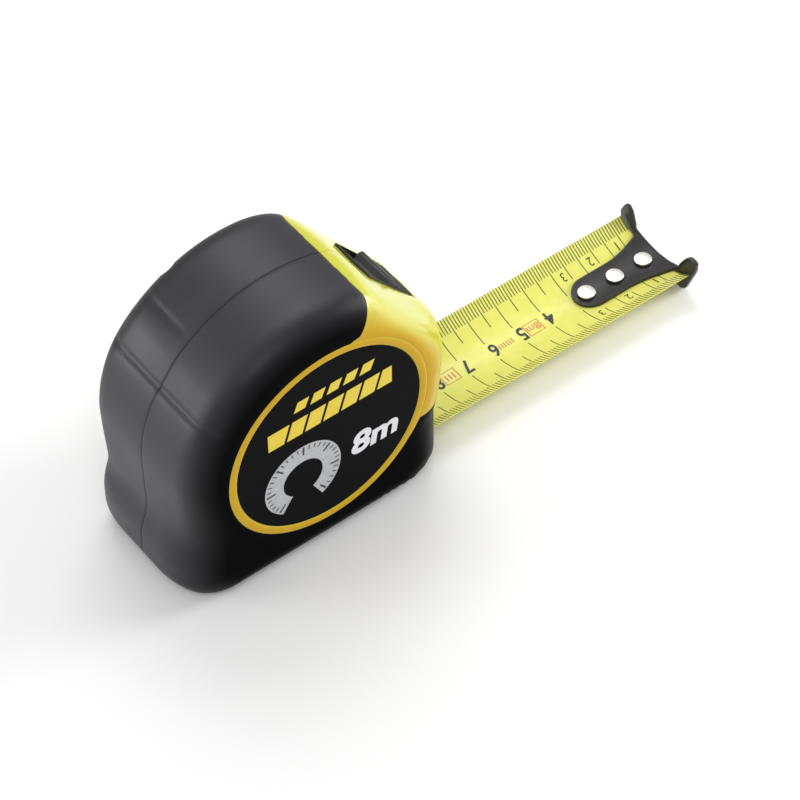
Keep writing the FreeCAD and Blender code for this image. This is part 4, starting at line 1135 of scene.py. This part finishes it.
# ---- pieces that keep their CAD shape ----
def finish_cad_nodes():
    """Materials and softened edges for the nodes whose shape is already right."""
    looks = {"mouth_bumper": (BUMPER, 0.25), "label_right": (LABEL, 0),
             "label_left": (LABEL, 0), "belt_clip": (CLIP_STEEL, 0.3), "clip_screw": (SCREW_STEEL, 0.2),
             "center_post": (POST_STEEL, 0.15), "drum": (DRUM_PLASTIC, 0.2),
             "drum_cover": (DRUM_PLASTIC, 0.2), "drum_washers": (POST_STEEL, 0),
             "power_spring": (SPRING_STEEL, 0), "blade_coil": (BLADE_BACK, 0),
             "brake_shoe": (LOCK_PLASTIC, 0.15)}
    for node, (material, radius) in looks.items():
        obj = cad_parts[node]
        obj.data.materials.clear()
        obj.data.materials.append(material)
        if radius:
            weld = obj.modifiers.new("weld", "WELD")
            weld.merge_threshold = 1e-6
            bevel = obj.modifiers.new("round", "BEVEL")
            bevel.width = radius * MM
            bevel.segments = 2
            bevel.limit_method = "ANGLE"
            bevel.angle_limit = math.radians(50)


# ---- stage ----
FLOOR_REACH = 3000.0
LIGHT_TARGET = (0.02, 0.0, 0.04)  # metres, as are the lights' places and sizes
SKY = 0.5


def area_light(name, place, size, power):
    """A rectangular light that looks at the middle of the object."""
    data = bpy.data.lights.new(name, "AREA")
    data.shape = "RECTANGLE"
    data.size, data.size_y = size
    data.energy = power
    obj = new_object(name, data)
    obj.location = place
    obj.rotation_euler = (Vector(LIGHT_TARGET) - Vector(place)).to_track_quat("-Z", "Y").to_euler()


def stage():
    """White floor, pale sky and five soft lights."""
    n = Nodes("pale_floor")
    paper = n.mix(n.ramp(n.noise(3, 3), 0, 1), colour(0.95, 0.95, 0.95), colour(0.93, 0.93, 0.93))
    material = n.finish(Base_Color=paper, Roughness=0.8, Normal=n.bump(n.noise(400, 2), 0.02))
    corners = rectangle(-FLOOR_REACH, -FLOOR_REACH, FLOOR_REACH, FLOOR_REACH)
    floor = piece("floor", [(x, y, 0) for x, y in corners], [(0, 1, 2, 3)], material)
    world = bpy.data.worlds.new("soft_world")
    world.use_nodes = True
    background = world.node_tree.nodes["Background"].inputs
    background["Color"].default_value = colour(1, 1, 1)
    background["Strength"].default_value = SKY
    bpy.context.scene.world = world
    area_light("key", (-0.35, -0.45, 0.85), (0.45, 0.45), 2.2)
    area_light("back_left", (-0.80, 0.48, 0.22), (0.45, 0.40), 3.4)
    area_light("front_right", (0.75, -0.30, 0.50), (0.30, 0.24), 2.0)
    area_light("low_right", (0.55, -0.07, 0.11), (0.26, 0.16), 1.0)
    area_light("top", (0.25, 0.40, 0.75), (0.5, 0.4), 2.4)
    bpy.context.scene.view_settings.view_transform = "Standard"


# Angles in radians, place in metres, lens in millimetres.
CAMERA_AZIMUTH, CAMERA_ELEVATION, CAMERA_ROLL = -0.6489, 0.8624, -0.0093
CAMERA_PLACE = (-0.3071, -0.4584, 0.6781)
CAMERA_LENS = 144.27
SENSOR_WIDTH = 36.0


def camera():
    """Camera above and behind the right side of the case, with a long lens."""
    azimuth, elevation, roll = CAMERA_AZIMUTH, CAMERA_ELEVATION, CAMERA_ROLL
    flat = math.cos(elevation)
    back = Vector((math.sin(azimuth) * flat, -math.cos(azimuth) * flat, math.sin(elevation)))
    level = Vector((math.cos(azimuth), math.sin(azimuth), 0))
    upward = back.cross(level)
    right = level * math.cos(roll) + upward * math.sin(roll)
    up = upward * math.cos(roll) - level * math.sin(roll)
    data = bpy.data.cameras.new("camera")
    data.lens = CAMERA_LENS
    data.sensor_width = SENSOR_WIDTH
    data.clip_start, data.clip_end = 0.05, 20.0
    obj = new_object("camera", data)
    obj.matrix_world = Matrix.Translation(CAMERA_PLACE) @ Matrix((right, up, back)).transposed().to_4x4()
    bpy.context.scene.camera = obj


for side, label in ((-1, "right"), (1, "left")):
    shell_half(side, label)
    grip_half(side, label)
    label_ring(side, label)
    label_print(side, label)
case_screws()
blade_strip()
blade_numbers()
hook()
rivets()
lock()
slot_liner()
finish_cad_nodes()
stage()
camera()
